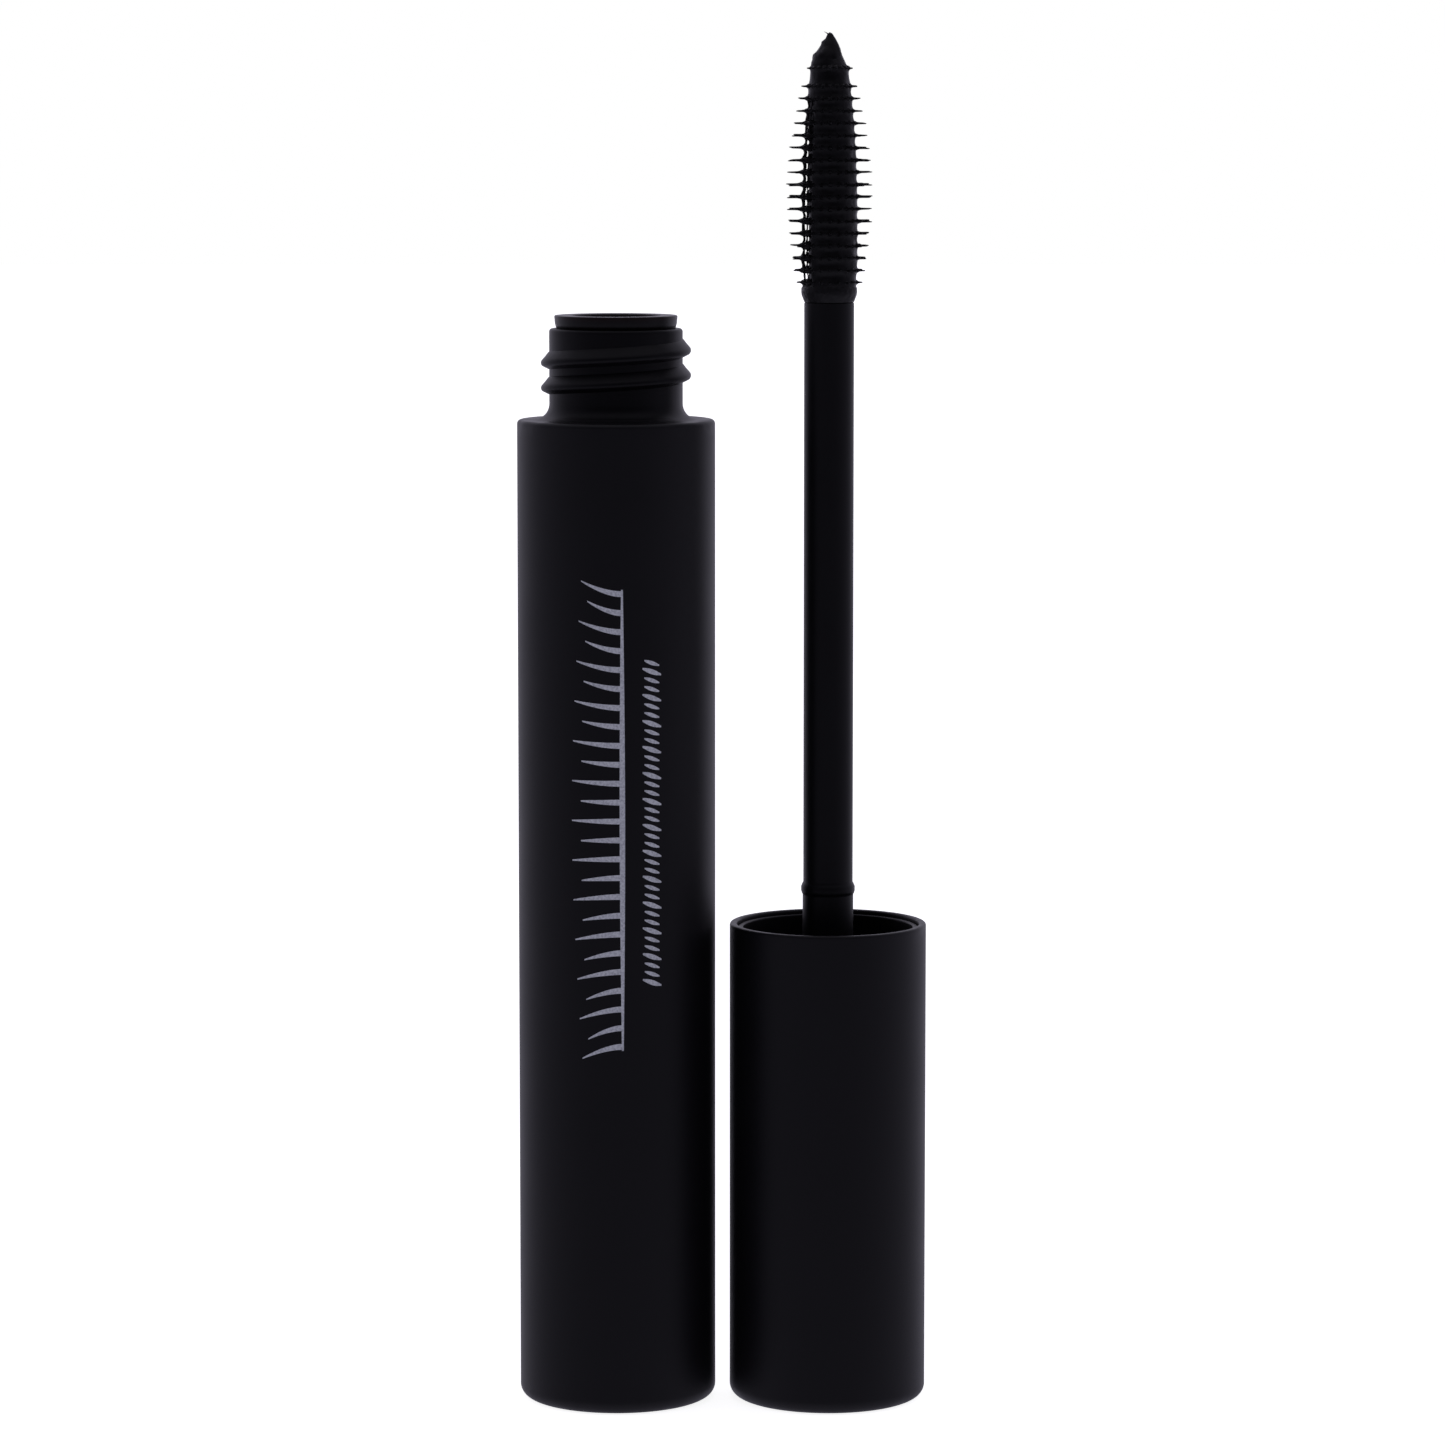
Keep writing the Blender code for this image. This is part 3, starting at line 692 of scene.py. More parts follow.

# The wiper's own dark tone, and a lighter tone that is a painted highlight on its top edge.
WIPER_TONE_AND_TOP_HIGHLIGHT = (0.0030, 0.0024, 0.0030, 1.0), (0.0140, 0.0080, 0.0078, 1.0)
SMEAR_TONE = (0.0030, 0.0030, 0.0036, 1.0)
soft = Finish("soft_wiper_plastic", Specular_IOR_Level=0.2)
# Painted highlight: the colour turns lighter over the top 0.6 mm of the wiper, where light from
# above falls.
painted_top_highlight = soft.between(soft.height(), wiper_high.z - 0.0006, wiper_high.z - 0.00005)
beyond_bore = soft.between(soft.outward(bottle_axis), wiper_bore + 0.00005, wiper_bore + 0.00020)
smear = soft.between(soft.speckle(0.0011, 6.0), 0.50, 0.60) * (1 - beyond_bore)
soft.colour(soft.blend(smear, soft.blend(painted_top_highlight, *WIPER_TONE_AND_TOP_HIGHLIGHT), SMEAR_TONE))
soft.roughness(0.34 - 0.16 * smear + 0.10 * soft.speckle(0.0005))
soft.relief(0.6 * smear + 0.4 * soft.speckle(0.0006), 0.00003)
dress(wiper, soft, "bottle", "wiper_black", "wiper")

# ---------------------------------------------------------------------------------------------
# The paste in the bottle: thick, wet and black. The brush leaves a ragged channel in it, and
# the paste's top stands a little higher at the wall.
# ---------------------------------------------------------------------------------------------

CHANNEL_RADIUS = 0.00466
CHANNEL_FOOT = 0.0081
ROW_COUNT = 48
ROW_STEP = 0.0012
CLOT_CELL = 0.0016
CLOT_HEIGHT = 0.00030

paste_low, paste_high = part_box("mascara_paste")
paste_radius = (paste_high.x - paste_low.x) / 2


def ragged(piece, axis, cell, amount, low, high):
    """Moves the points of a turned piece in and out by noise, between two heights."""
    for vert in piece.data.vertices:
        if low <= vert.co.z <= high:
            out = Vector((vert.co.x - axis, vert.co.y, 0.0))
            if out.length > 1e-5:
                push = amount * noise.noise(vert.co / cell)
                vert.co += out.normalized() * push + Vector((0.0, 0.0, 0.5 * push))


channel_rows = [
    (CHANNEL_RADIUS, paste_high.z - ROW_STEP * (row + 1)) for row in range(1, ROW_COUNT)
]
paste_outline = [
    (0.0, paste_low.z),
    *arc(paste_radius - BASE_ROUND, paste_low.z + BASE_ROUND, BASE_ROUND, -90.0, 90.0, 5),
    (paste_radius, paste_high.z - 0.0002),
    (paste_radius - 0.0002, paste_high.z - 0.0001),
    (0.7 * paste_radius + 0.3 * CHANNEL_RADIUS, paste_high.z - 0.0006),
    (0.3 * paste_radius + 0.7 * CHANNEL_RADIUS, paste_high.z - 0.0009),
    *channel_rows,
    (CHANNEL_RADIUS, CHANNEL_FOOT + CHANNEL_RADIUS),
    (0.6 * CHANNEL_RADIUS, CHANNEL_FOOT + 0.3 * CHANNEL_RADIUS),
    (0.0, CHANNEL_FOOT),
]
paste = turned("paste_filling", paste_outline, bottle_axis)
ragged(
    paste, bottle_axis, CLOT_CELL, CLOT_HEIGHT, CHANNEL_FOOT + 0.001, paste_high.z - 0.0005
)
smooth(paste, 60.0)

PASTE_TONES = (0.0012, 0.0011, 0.0016, 1.0), (0.0034, 0.0031, 0.0040, 1.0)
DRY_ABOVE = 0.62


def wet_paste(name, wet):
    """Black paste. Where it is wet it shines, and where it has dried it is dull and lumpy."""
    made = Finish(name, Specular_IOR_Level=0.2)
    lumps = made.speckle(0.0006, 5.0)
    dried = made.between(made.speckle(0.0014, 4.0), DRY_ABOVE * wet, DRY_ABOVE * wet + 0.22)
    made.colour(made.blend(dried, *PASTE_TONES))
    made.roughness(0.34 + 0.26 * dried + 0.10 * lumps)
    made.relief(lumps, 0.00006)
    return made


dress(paste, wet_paste("wet_paste", 1.0), "bottle", "paste_black", "mascara_paste")

# ---------------------------------------------------------------------------------------------
# The outer cap: a thin moulded cup with the same soft-touch lacquer. It stands on its closed
# end here, and its thin rim is rounded by the lacquer.
# ---------------------------------------------------------------------------------------------

CAP_WALL = 0.0007
CAP_END_WALL = 0.0012
CAP_END_ROUND = 0.0012
CAP_END_DISH = 0.00006
CAP_DISH_SHARE = 0.6
CAP_RIM_ROUND = 0.00022

cap_low, cap_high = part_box("outer_cap")
cap_axis = (cap_low.x + cap_high.x) / 2
cap_radius = (cap_high.x - cap_low.x) / 2
cap_rim = cap_high.z
cap_bore = cap_radius - CAP_WALL
cap_outline = [
    (0.0, CAP_END_DISH),
    (CAP_DISH_SHARE * cap_radius, CAP_END_DISH),
    (CAP_DISH_SHARE * cap_radius + 0.0003, 0.0),
    *arc(cap_radius - CAP_END_ROUND, CAP_END_ROUND, CAP_END_ROUND, -90.0, 90.0, 10),
    *arc(cap_radius - CAP_RIM_ROUND, cap_rim - CAP_RIM_ROUND, CAP_RIM_ROUND, 0.0, 90.0, 5),
    *arc(cap_bore + CAP_RIM_ROUND, cap_rim - CAP_RIM_ROUND, CAP_RIM_ROUND, 90.0, 90.0, 5),
    (cap_bore, CAP_END_WALL),
    (0.0, CAP_END_WALL),
]
outer_cap = turned("cap_shell", cap_outline, cap_axis)
smooth(outer_cap)

shell = soft_touch("soft_touch_cap", cap_axis, cap_rim)
dress(outer_cap, shell, "applicator", "soft_touch_black", "outer_cap")

# ---------------------------------------------------------------------------------------------
# The inner cap: a bare moulded liner pushed into the outer cap. It carries the thread, the web
# behind the washer, and the ribbed boss that grips the rod.
# ---------------------------------------------------------------------------------------------

MOUTH_RADIUS = 0.0082
MOUTH_DEPTH = 0.0020
MOUTH_TAPER = 0.0008
LINER_SWELL = 0.00012
RIM_ROUND = 0.00012
INNER_BORE = 0.0074
INNER_THREAD_DEPTH = 0.0005
INNER_THREAD_LOW = 0.0024
INNER_THREAD_TURNS = 1.45
ROD_FOOT_RADIUS = 0.00245
BOSS_PLAY = 0.00005
WEB_THICKNESS = 0.0014
BOSS_LENGTH = 0.0120
BOSS_WALL = 0.0020
SKIRT_WALL = 0.0010
RIB_COUNT = 4
RIB_WIDTH = 0.0010
RIB_HEIGHT = 0.0102
RIB_BITE = 0.0003

inner_low, inner_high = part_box("inner_cap")
seal_low, seal_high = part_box("cap_seal")
inner_radius = (inner_high.x - inner_low.x) / 2 + LINER_SWELL
inner_rim = inner_high.z
web_top = seal_low.z - 0.00005
web_foot = web_top - WEB_THICKNESS
boss_bore = ROD_FOOT_RADIUS + BOSS_PLAY
boss_radius = boss_bore + BOSS_WALL
skirt_bore = inner_radius - SKIRT_WALL
inner_outline = [
    (inner_radius, inner_low.z),
    *arc(inner_radius - RIM_ROUND, inner_rim - RIM_ROUND, RIM_ROUND, 0.0, 90.0, 3),
    *arc(MOUTH_RADIUS + RIM_ROUND, inner_rim - RIM_ROUND, RIM_ROUND, 90.0, 90.0, 3),
    (MOUTH_RADIUS, inner_rim - MOUTH_DEPTH),
    (INNER_BORE, inner_rim - MOUTH_DEPTH - MOUTH_TAPER),
    *arc(INNER_BORE - EDGE_ROUND, web_top + EDGE_ROUND, EDGE_ROUND, 0.0, -90.0, 3),
    (boss_bore, web_top),
    (boss_bore, web_foot - BOSS_LENGTH),
    (boss_radius, web_foot - BOSS_LENGTH),
    (boss_radius, web_foot - 0.0003),
    (boss_radius + 0.0003, web_foot),
    (skirt_bore, web_foot),
    (skirt_bore, inner_low.z),
]
inner_cap = turned("cap_liner", inner_outline, cap_axis, looped=True)
rib_middle = (boss_radius + skirt_bore) / 2
rib_centre = web_foot + 0.0002 - RIB_HEIGHT / 2
for index in range(RIB_COUNT):
    clear_selection()
    bpy.ops.mesh.primitive_cube_add(size=1.0, location=(rib_middle, 0.0, rib_centre))
    rib = bpy.context.object
    rib.scale = (skirt_bore - boss_radius + 2.0 * RIB_BITE, RIB_WIDTH, RIB_HEIGHT)
    bpy.ops.object.transform_apply()
    rib.data.transform(Matrix.Rotation(index * FULL_TURN / RIB_COUNT, 4, "Z"))
    rib.data.transform(Matrix.Translation((cap_axis, 0.0, 0.0)))
    unite(inner_cap, rib)
INNER_SECTION = [
    (INNER_BORE + THREAD_BITE, -0.00072),
    (INNER_BORE - 0.40 * INNER_THREAD_DEPTH, -0.00034),
    (INNER_BORE - 0.92 * INNER_THREAD_DEPTH, -0.00014),
    (INNER_BORE - INNER_THREAD_DEPTH, 0.00002),
    (INNER_BORE - 0.90 * INNER_THREAD_DEPTH, 0.00018),
    (INNER_BORE - 0.40 * INNER_THREAD_DEPTH, 0.00060),
    (INNER_BORE + THREAD_BITE, 0.00110),
]
thread_low = seal_high.z + INNER_THREAD_LOW
inner_thread = thread(
    "inner_thread", cap_axis, INNER_SECTION, thread_low, 0.0, INNER_THREAD_TURNS
)
unite(inner_cap, inner_thread)
smooth(inner_cap, 40.0)

liner = bare_plastic("bare_liner", 0.17)
dress(inner_cap, liner, "applicator", "moulded_black", "inner_cap")

# ---------------------------------------------------------------------------------------------
# The sealing washer: a ring cut from thin grey foam sheet, loose on the web round the rod. It is
# pressed on the wiper's flange when the cap is screwed down.
# ---------------------------------------------------------------------------------------------

SEAL_BORE = 0.0037
SEAL_ROUND = 0.00022
SEAL_DENT = 0.00006

seal_outer = (seal_high.x - seal_low.x) / 2
seal_outline = [
    *arc(seal_outer - SEAL_ROUND, seal_low.z + SEAL_ROUND, SEAL_ROUND, -90.0, 90.0, 4),
    *arc(seal_outer - SEAL_ROUND, seal_high.z - SEAL_ROUND, SEAL_ROUND, 0.0, 90.0, 4),
    (0.62 * seal_outer + 0.38 * SEAL_BORE, seal_high.z - SEAL_DENT),
    (0.38 * seal_outer + 0.62 * SEAL_BORE, seal_high.z - SEAL_DENT),
    *arc(SEAL_BORE + SEAL_ROUND, seal_high.z - SEAL_ROUND, SEAL_ROUND, 90.0, 90.0, 4),
    *arc(SEAL_BORE + SEAL_ROUND, seal_low.z + SEAL_ROUND, SEAL_ROUND, 180.0, 90.0, 4),
]
cap_seal = turned("washer_ring", seal_outline, cap_axis, looped=True)
smooth(cap_seal, 50.0)

FOAM_CELL = 0.00018
FOAM_TONES = (0.050, 0.050, 0.054, 1.0), (0.095, 0.095, 0.100, 1.0)
STAIN_TONE = (0.004, 0.004, 0.005, 1.0)
foam = Finish("washer_foam", Specular_IOR_Level=0.25)
cells = foam.node("TexVoronoi", {}, {"Vector": foam.place, "Scale": 1.0 / FOAM_CELL}, "Distance")
stain = foam.between(foam.speckle(0.0018, 5.0), 0.50, 0.62)
foam.colour(foam.blend(stain, foam.blend(cells, *FOAM_TONES), STAIN_TONE))
foam.roughness(0.85 - 0.45 * stain)
foam.relief(cells, 0.00005)
dress(cap_seal, foam, "seal", "seal_grey", "cap_seal")

# ---------------------------------------------------------------------------------------------
# The rod: a bare moulded stem. Its foot plugs into the boss, a collar stops it on the web, and
# a small bead above the cap's mouth seats in the wiper when the mascara is closed.
# ---------------------------------------------------------------------------------------------

ROD_RADIUS = 0.00239
BEAD_RADIUS = 0.00260
BEAD_PLACE = 0.0034
BEAD_HEIGHT = 0.0012
COLLAR_HEIGHT = 0.0009
ROD_BORE = 0.0015
ROD_BORE_DEPTH = 0.0090
STEM_ROWS = 13
STEM_STEP = 0.004

rod_low, rod_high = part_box("rod")
collar_radius = (rod_high.x - rod_low.x) / 2
rod_end = rod_high.z
bead = cap_rim + BEAD_PLACE
rod_outline = [
    (0.0, rod_low.z),
    (ROD_FOOT_RADIUS - 0.0002, rod_low.z),
    (ROD_FOOT_RADIUS, rod_low.z + 0.0002),
    (ROD_FOOT_RADIUS, web_top + 0.00002),
    (collar_radius - 0.0001, web_top + 0.00002),
    (collar_radius, web_top + 0.00012),
    (collar_radius, web_top + COLLAR_HEIGHT - 0.0001),
    (collar_radius - 0.0001, web_top + COLLAR_HEIGHT),
    (ROD_FOOT_RADIUS + 0.0003, web_top + COLLAR_HEIGHT),
    (ROD_FOOT_RADIUS, web_top + COLLAR_HEIGHT + 0.0003),
    (ROD_FOOT_RADIUS, bead - 0.50 * BEAD_HEIGHT),
    (0.5 * (ROD_FOOT_RADIUS + BEAD_RADIUS), bead - 0.42 * BEAD_HEIGHT),
    (BEAD_RADIUS, bead - 0.20 * BEAD_HEIGHT),
    (BEAD_RADIUS, bead + 0.12 * BEAD_HEIGHT),
    (0.5 * (ROD_RADIUS + BEAD_RADIUS), bead + 0.34 * BEAD_HEIGHT),
    (ROD_RADIUS, bead + 0.50 * BEAD_HEIGHT),
    *[(ROD_RADIUS, bead + 0.003 + STEM_STEP * row) for row in range(STEM_ROWS)],
    (ROD_RADIUS, rod_end - 0.0001),
    (ROD_RADIUS - 0.0001, rod_end),
    (ROD_BORE, rod_end),
    (ROD_BORE, rod_end - ROD_BORE_DEPTH),
    (0.0, rod_end - ROD_BORE_DEPTH),
]
rod = turned("applicator_rod", rod_outline, cap_axis)
smooth(rod, 40.0)
stem = bare_plastic("bare_rod", 0.22)
dress(rod, stem, "applicator", "moulded_black", "rod")

# ---------------------------------------------------------------------------------------------
# The brush: one soft moulding, with a shank in the rod's bore, a collar, a core and eighteen
# rings of fine spikes. The spikes are thick with paste at their feet, and thin out quickly.
# ---------------------------------------------------------------------------------------------

BRUSH_SEAT = 0.0003
RING_COUNT = 18
RING_PITCH = 0.001163
LAST_RING_EXTRA = 0.00054
WIDEST_RING = 7
COLUMN_COUNT = 20
SPIKE_SIDES = 6
CORE_RADIUS = 0.00195
BRUSH_COLLAR_RADIUS = 0.00267
BRUSH_COLLAR_HEIGHT = 0.0012
SPIKE_REACH_BASE = 0.0032
SPIKE_REACH_WIDEST = 0.00416
SPIKE_REACH_TIP = 0.00225
COAT_START = 0.00250
COAT_WIDEST = 0.00266
COAT_AT_TIP_RING = 0.00176
COAT_WIDEST_RING = 3
COAT_RIDGE = 0.00016

brush_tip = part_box("brush")[1].z
collar_foot = rod_end + 0.00001
collar_top = rod_end + BRUSH_SEAT + BRUSH_COLLAR_HEIGHT
first_ring = collar_top + 0.0004
ring_heights = [first_ring + RING_PITCH * index for index in range(RING_COUNT)]
ring_heights[-1] += LAST_RING_EXTRA


def spike_reach(height):
    """How far out the spikes of a ring reach: two parabolas that meet at the widest ring."""
    widest = ring_heights[WIDEST_RING]
    if height < widest:
        away = (widest - height) / (widest - ring_heights[0])
        return SPIKE_REACH_WIDEST - (SPIKE_REACH_WIDEST - SPIKE_REACH_BASE) * away ** 2
    away = (height - widest) / (ring_heights[-1] - widest)
    return SPIKE_REACH_WIDEST - (SPIKE_REACH_WIDEST - SPIKE_REACH_TIP) * away ** 2


def coat_radius(height):
    """How far out the paste lies between the rings: less far towards the tip."""
    widest = ring_heights[COAT_WIDEST_RING]
    if height < widest:
        share = (height - collar_top) / (widest - collar_top)
        return COAT_START + (COAT_WIDEST - COAT_START) * min(1.0, 1.6 * share)
    share = (height - widest) / (ring_heights[-1] - widest)
    return COAT_WIDEST - (COAT_WIDEST - COAT_AT_TIP_RING) * share ** 2.6


shank_foot = rod_end - ROD_BORE_DEPTH + BRUSH_SEAT
core_outline = [
    (0.0, shank_foot),
    (ROD_BORE - 0.0002, shank_foot),
    (ROD_BORE - 0.0001, collar_foot),
    (ROD_RADIUS - 0.00002, collar_foot),
    (ROD_RADIUS + 0.00010, collar_foot + 0.25 * BRUSH_COLLAR_HEIGHT),
    (BRUSH_COLLAR_RADIUS - 0.00004, collar_foot + 0.55 * BRUSH_COLLAR_HEIGHT),
    (BRUSH_COLLAR_RADIUS, collar_foot + 0.75 * BRUSH_COLLAR_HEIGHT),
    (BRUSH_COLLAR_RADIUS, collar_top - 0.00015),
    (BRUSH_COLLAR_RADIUS - 0.0001, collar_top),
    (CORE_RADIUS + 0.0001, collar_top + 0.00005),
    (CORE_RADIUS, collar_top + 0.00020),
    *[(CORE_RADIUS, height) for height in ring_heights[:-1]],
    (0.90 * CORE_RADIUS, ring_heights[-1]),
    (0.60 * CORE_RADIUS, ring_heights[-1] + 0.0013),
    (0.25 * CORE_RADIUS, ring_heights[-1] + 0.0022),
    (0.0, ring_heights[-1] + 0.0026),
]
brush_core = turned("brush_core", core_outline, cap_axis, steps=60)
smooth(brush_core, 50.0)


def drawn_spike(name, stages):
    """A spike along +X, drawn out of a small ring stage by stage of (distance, radius)."""
    clear_selection()
    (distance, radius), rest = stages[0], stages[1:]
    bpy.ops.mesh.primitive_circle_add(
        vertices=SPIKE_SIDES,
        radius=radius,
        fill_type="NGON",
        location=(distance, 0.0, 0.0),
        rotation=(0.0, math.radians(90.0), 0.0),
    )
    spike = bpy.context.object
    spike.name = name
    bpy.ops.object.transform_apply()
    bpy.ops.object.mode_set(mode="EDIT")
    bpy.ops.mesh.select_all(action="SELECT")
    for next_distance, next_radius in rest:
        bpy.ops.mesh.extrude_region_move(
            TRANSFORM_OT_translate={"value": (next_distance - distance, 0.0, 0.0)}
        )
        bpy.ops.transform.resize(
            value=(1.0, next_radius / radius, next_radius / radius),
            center_override=(next_distance, 0.0, 0.0),
        )
        distance, radius = next_distance, next_radius
    bpy.ops.mesh.select_all(action="SELECT")
    bpy.ops.mesh.normals_make_consistent(inside=False)
    bpy.ops.object.mode_set(mode="OBJECT")
    return spike


def joined(name, pieces):
    """Joins like pieces into one object at the origin."""
    clear_selection()
    for piece in pieces:
        piece.select_set(True)
    bpy.context.view_layer.objects.active = pieces[0]
    bpy.ops.object.join()
    whole = bpy.context.object
    whole.name = name
    return whole


SPIKE_ROOT = 0.00042
SPIKE_FOOT = 0.00034
SPIKE_STAGES = (
    (0.0, 0.00024), (0.10, 0.00017), (0.24, 0.00012),
    (0.52, 0.000095), (0.86, 0.000075), (1.0, 0.00004),
)
SPIKE_SAG = 0.05
SPIKE_DROOP = 18.0
SPIKE_DRIFT = 0.035
SHORTEST_SPIKE = 0.95
chance = random.Random(11)
spikes = []
tips = []
for ring, height in enumerate(ring_heights):
    reach = spike_reach(height)
    foot = coat_radius(height) + COAT_RIDGE
    stages = [
        (CORE_RADIUS - 0.00035, SPIKE_ROOT),
        (max(foot - 0.00025, CORE_RADIUS - 0.0003), SPIKE_FOOT),
    ]
    stages += [(foot + share * (reach - foot), radius) for share, radius in SPIKE_STAGES]
    model = drawn_spike("spike", stages)
    for column in range(COLUMN_COUNT):
        angle = FULL_TURN * column / COLUMN_COUNT
        spike = model.copy()
        spike.data = model.data.copy()
        bpy.context.scene.collection.objects.link(spike)
        sag = chance.uniform(-SPIKE_SAG, SPIKE_SAG)
        drift = chance.uniform(-SPIKE_DRIFT, SPIKE_DRIFT)
        for vert in spike.data.vertices:
            loose = max(0.0, vert.co.x - CORE_RADIUS)
            vert.co.z += sag * loose + SPIKE_DROOP * sag * loose ** 2
            vert.co.y += drift * loose
        length = chance.uniform(SHORTEST_SPIKE, 1.0)
        place = Matrix.Translation((cap_axis, 0.0, height))
        turn = Matrix.Rotation(angle, 4, "Z")
        spike.data.transform(place @ turn @ Matrix.Scale(length, 4, (1.0, 0.0, 0.0)))
        spikes.append(spike)
        tips.append((place @ turn, length * reach, sag))
    bpy.data.objects.remove(model)
brush_spikes = joined("brush_spikes", spikes)
smooth(brush_spikes, 70.0)

ELASTOMER_TONES = (0.0034, 0.0030, 0.0040, 1.0), (0.0012, 0.0011, 0.0016, 1.0)
elastomer = Finish("brush_elastomer", Specular_IOR_Level=0.25)
smeared = elastomer.between(elastomer.speckle(0.0005, 4.0), 0.42, 0.62)
elastomer.colour(elastomer.blend(smeared, *ELASTOMER_TONES))
elastomer.roughness(0.56 - 0.22 * smeared)
elastomer.relief(smeared, 0.00002)
dress(brush_core, elastomer, "applicator", "brush_black", "brush")
dress(brush_spikes, elastomer, "applicator", "brush_black")

# ---------------------------------------------------------------------------------------------
# Paste on the brush: a lumpy coat between the rings, thin strands along the side where the coat
# has pulled away, beads of paste on some spikes, and the pointed clot at the tip with its wisp.
# ---------------------------------------------------------------------------------------------

GAP_SIDE = math.pi
GAP_HALF_WIDTH = math.radians(46.0)
GAP_FLOOR = 0.00178
GAP_RIDGE = 0.00070
GAP_WEB = 0.0012
COAT_LUMP = 0.00005
CLOT_LUMP = 0.10
COAT_SHARES = (0.0, 0.2, 0.4, 0.6, 0.8)
CLOT_SHARES = (0.0, 0.08, 0.17, 0.24, 0.30, 0.37, 0.45, 0.53, 0.58, 0.64, 0.72, 0.80, 0.87, 0.94)
CLOT_STEPPED_SIDE = (
    (0.0, 0.00180), (0.18, 0.00172), (0.37, 0.00160), (0.46, 0.00127), (0.64, 0.00082),
    (0.72, 0.00076), (0.80, 0.00042), (0.90, 0.00026), (1.0, 0.00006),
)
CLOT_STRAIGHT_SIDE = (
    (0.0, 0.00165), (0.18, 0.00136), (0.37, 0.00117), (0.54, 0.00098), (0.68, 0.00078),
    (0.80, 0.00054), (0.90, 0.00034), (1.0, 0.00010),
)

last_ring = ring_heights[-1]
coat_foot = collar_top - 0.0002
coat_outline = [(0.0, coat_foot), (BRUSH_COLLAR_RADIUS - 0.00015, coat_foot)]
for low_ring, high_ring in zip(ring_heights, ring_heights[1:]):
    for share in COAT_SHARES:
        coat_outline.append((COAT_WIDEST, low_ring + share * (high_ring - low_ring)))
for share in CLOT_SHARES:
    coat_outline.append((0.0010, last_ring + share * (brush_tip - last_ring)))
coat_outline.append((0.0, brush_tip - 0.00008))
coat = turned("brush_paste_coat", coat_outline, cap_axis, steps=72)


def ring_share(height):
    """1 at a ring, 0 halfway between two rings."""
    nearest = min(abs(height - ring) for ring in ring_heights)
    return max(0.0, 1.0 - nearest / (RING_PITCH / 2))


def along_profile(profile, share):
    """Reads a radius between the points of a profile."""
    for (low, low_radius), (high, high_radius) in zip(profile, profile[1:]):
        if share <= high:
            return low_radius + (high_radius - low_radius) * (share - low) / (high - low)
    return profile[-1][1]


for vert in coat.data.vertices:
    out = Vector((vert.co.x - cap_axis, vert.co.y, 0.0))
    if out.length < 1e-6 or vert.co.z < collar_top - 0.0001:
        continue
    lump = noise.noise(vert.co / 0.0011) + 0.5 * noise.noise(vert.co / 0.0004)
    facing = out.normalized()
    if vert.co.z < last_ring - 0.00001:
        near = ring_share(vert.co.z)
        radius = coat_radius(vert.co.z) + COAT_RIDGE * near ** 2 + COAT_LUMP * lump
        turn_away = abs(math.remainder(math.atan2(out.y, out.x) - GAP_SIDE, FULL_TURN))
        if turn_away < GAP_HALF_WIDTH and ring_heights[0] < vert.co.z < ring_heights[-3]:
            web = max(0.0, noise.noise(vert.co / 0.0007) - 0.15)
            radius = min(radius, GAP_FLOOR + GAP_RIDGE * near ** 3 + GAP_WEB * web)
    else:
        share = (vert.co.z - last_ring) / (brush_tip - last_ring)
        left = (1.0 - facing.x) / 2
        radius = left * along_profile(CLOT_STEPPED_SIDE, share)
        radius += (1.0 - left) * along_profile(CLOT_STRAIGHT_SIDE, share)
        radius *= 1.0 + CLOT_LUMP * lump
    vert.co.x = cap_axis + facing.x * radius
    vert.co.y = facing.y * radius
smooth(coat, 70.0)


def strand(name, path, radii):
    """A thin thread of paste along a path, drawn out stage by stage, each with its radius."""
    clear_selection()
    bpy.ops.mesh.primitive_circle_add(
        vertices=SPIKE_SIDES, radius=radii[0], fill_type="NGON", location=path[0]
    )
    thin = bpy.context.object
    thin.name = name
    bpy.ops.object.transform_apply()
    bpy.ops.object.mode_set(mode="EDIT")
    bpy.ops.mesh.select_all(action="SELECT")
    stages = list(zip(path, radii))
    for (here, width), (there, next_width) in zip(stages, stages[1:]):
        bpy.ops.mesh.extrude_region_move(
            TRANSFORM_OT_translate={"value": Vector(there) - Vector(here)}
        )
        size = next_width / width
        bpy.ops.transform.resize(value=(size, size, 1.0), center_override=there)
    bpy.ops.mesh.select_all(action="SELECT")
    bpy.ops.mesh.normals_make_consistent(inside=False)
    bpy.ops.object.mode_set(mode="OBJECT")
    return thin


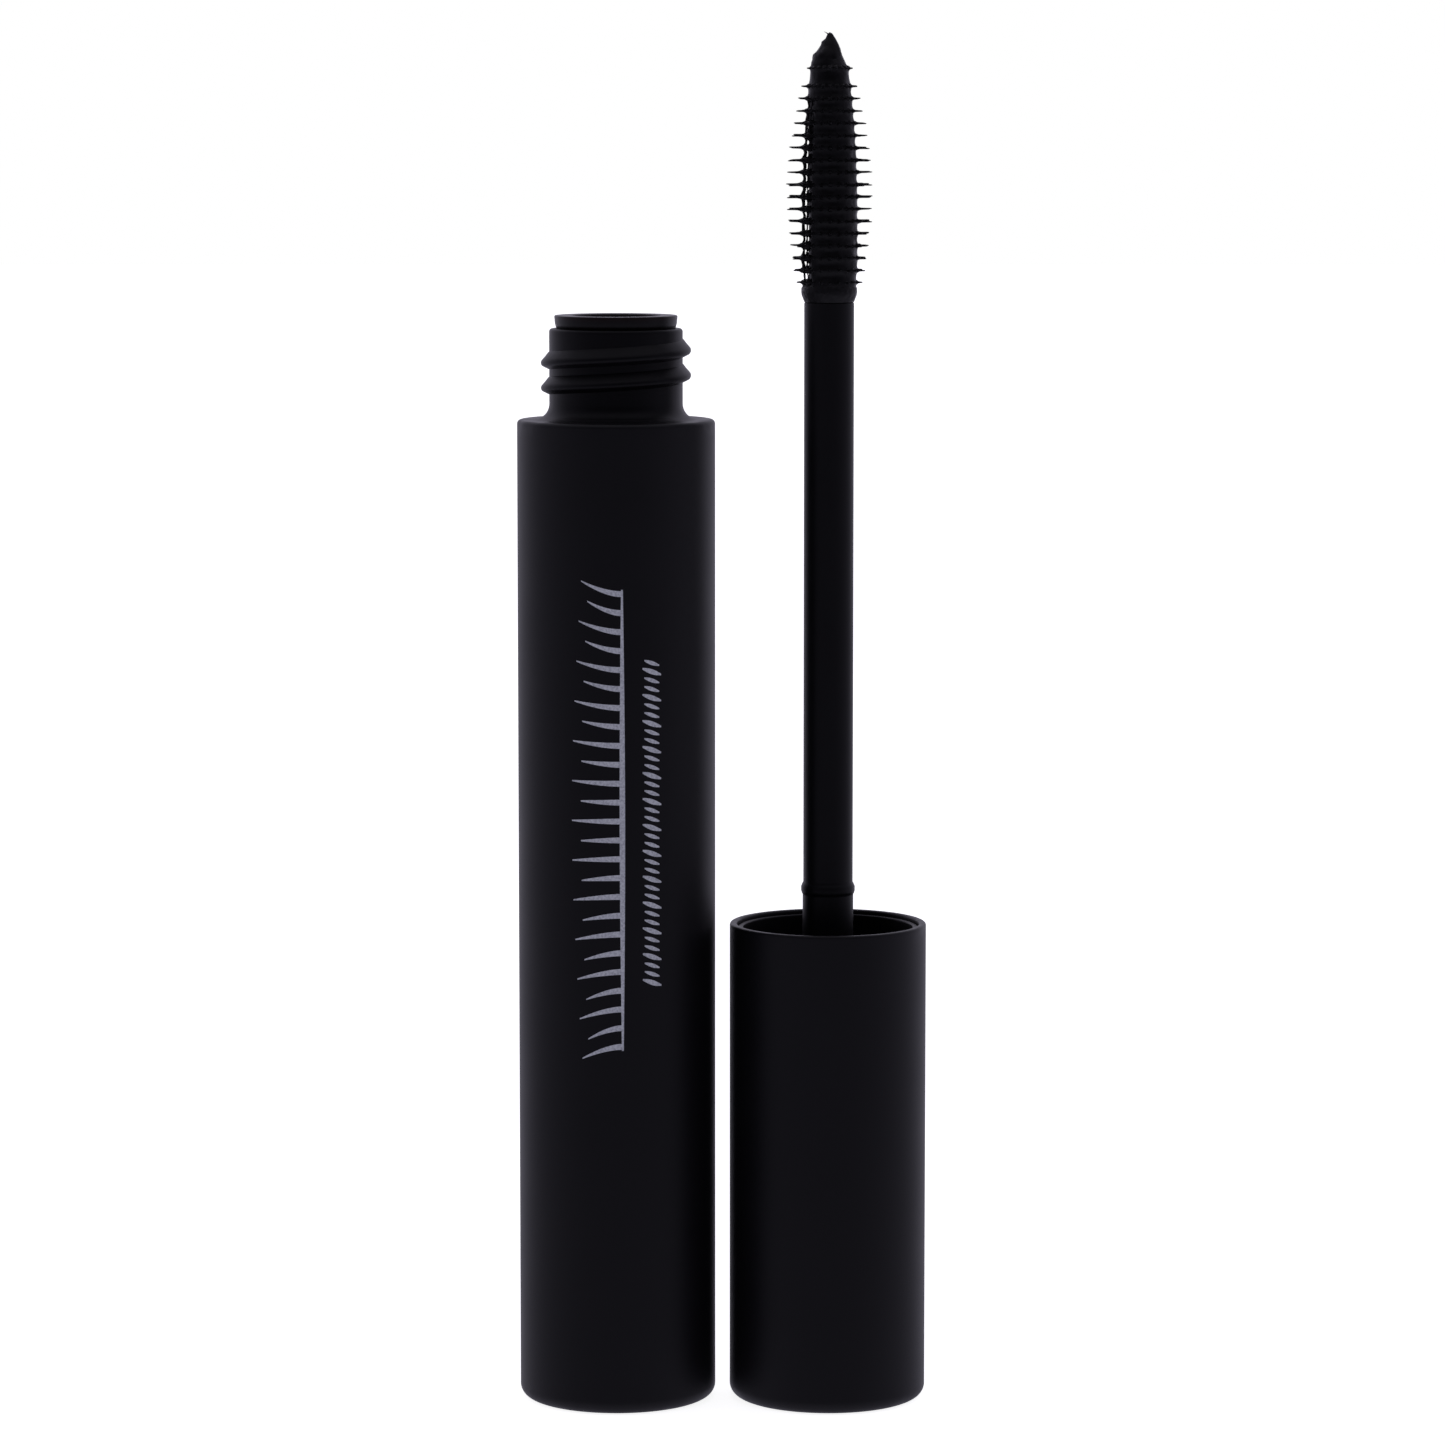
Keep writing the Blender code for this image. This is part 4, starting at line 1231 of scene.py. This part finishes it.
STRANDS = (
    (-0.62, 0.00006), (-0.34, 0.00007), (-0.05, 0.00009), (0.26, 0.00007), (0.55, 0.00006),
)
STRAND_DEPTH = 0.00018
extras = []
for offset, thickness in STRANDS:
    path = []
    radii = []
    for low_ring, high_ring in zip(ring_heights[:-3], ring_heights[1:-2]):
        for share in COAT_SHARES:
            height = low_ring + share * (high_ring - low_ring)
            near = ring_share(height)
            wander = noise.noise(Vector((height / 0.0007, 9.0 * offset, 1.0)))
            radius = coat_radius(height) - STRAND_DEPTH + 0.00010 * near + 0.00016 * wander
            angle = GAP_SIDE + offset + 0.10 * wander
            path.append((cap_axis + radius * math.cos(angle), radius * math.sin(angle), height))
            radii.append(thickness * (1.0 + 0.8 * near + 0.9 * wander))
    extras.append(strand("paste_strand", path, radii))

DROP_SHARE = 0.11
for place, reach, sag in tips:
    if chance.random() > DROP_SHARE:
        continue
    along = reach * chance.uniform(0.66, 0.90)
    size = chance.uniform(0.00007, 0.00012)
    clear_selection()
    bpy.ops.mesh.primitive_ico_sphere_add(subdivisions=2, radius=size)
    drop = bpy.context.object
    bpy.ops.object.mode_set(mode="EDIT")
    bpy.ops.mesh.select_all(action="SELECT")
    bpy.ops.transform.resize(value=(chance.uniform(1.6, 2.6), 1.0, 1.0))
    bpy.ops.object.mode_set(mode="OBJECT")
    loose = along - CORE_RADIUS
    drooped = sag * loose + SPIKE_DROOP * sag * loose ** 2
    drop.data.transform(place @ Matrix.Translation((along, 0.0, drooped)))
    extras.append(drop)

WISP_RADII = (0.00026, 0.00020, 0.00013, 0.00008, 0.00003)
wisp_path = [
    (cap_axis + 0.00006, 0.0, brush_tip - 0.00075),
    (cap_axis + 0.00002, 0.0, brush_tip - 0.00046),
    (cap_axis - 0.00012, 0.0, brush_tip - 0.00028),
    (cap_axis - 0.00032, 0.0, brush_tip - 0.00014),
    (cap_axis - 0.00054, 0.0, brush_tip - 0.00003),
]
extras.append(strand("tip_wisp", wisp_path, WISP_RADII))
paste_bits = joined("brush_paste_bits", extras)
smooth(paste_bits, 70.0)

brush_paste = wet_paste("brush_paste", 0.75)
dress(coat, brush_paste, "applicator", "paste_black")
dress(paste_bits, brush_paste, "applicator", "paste_black")
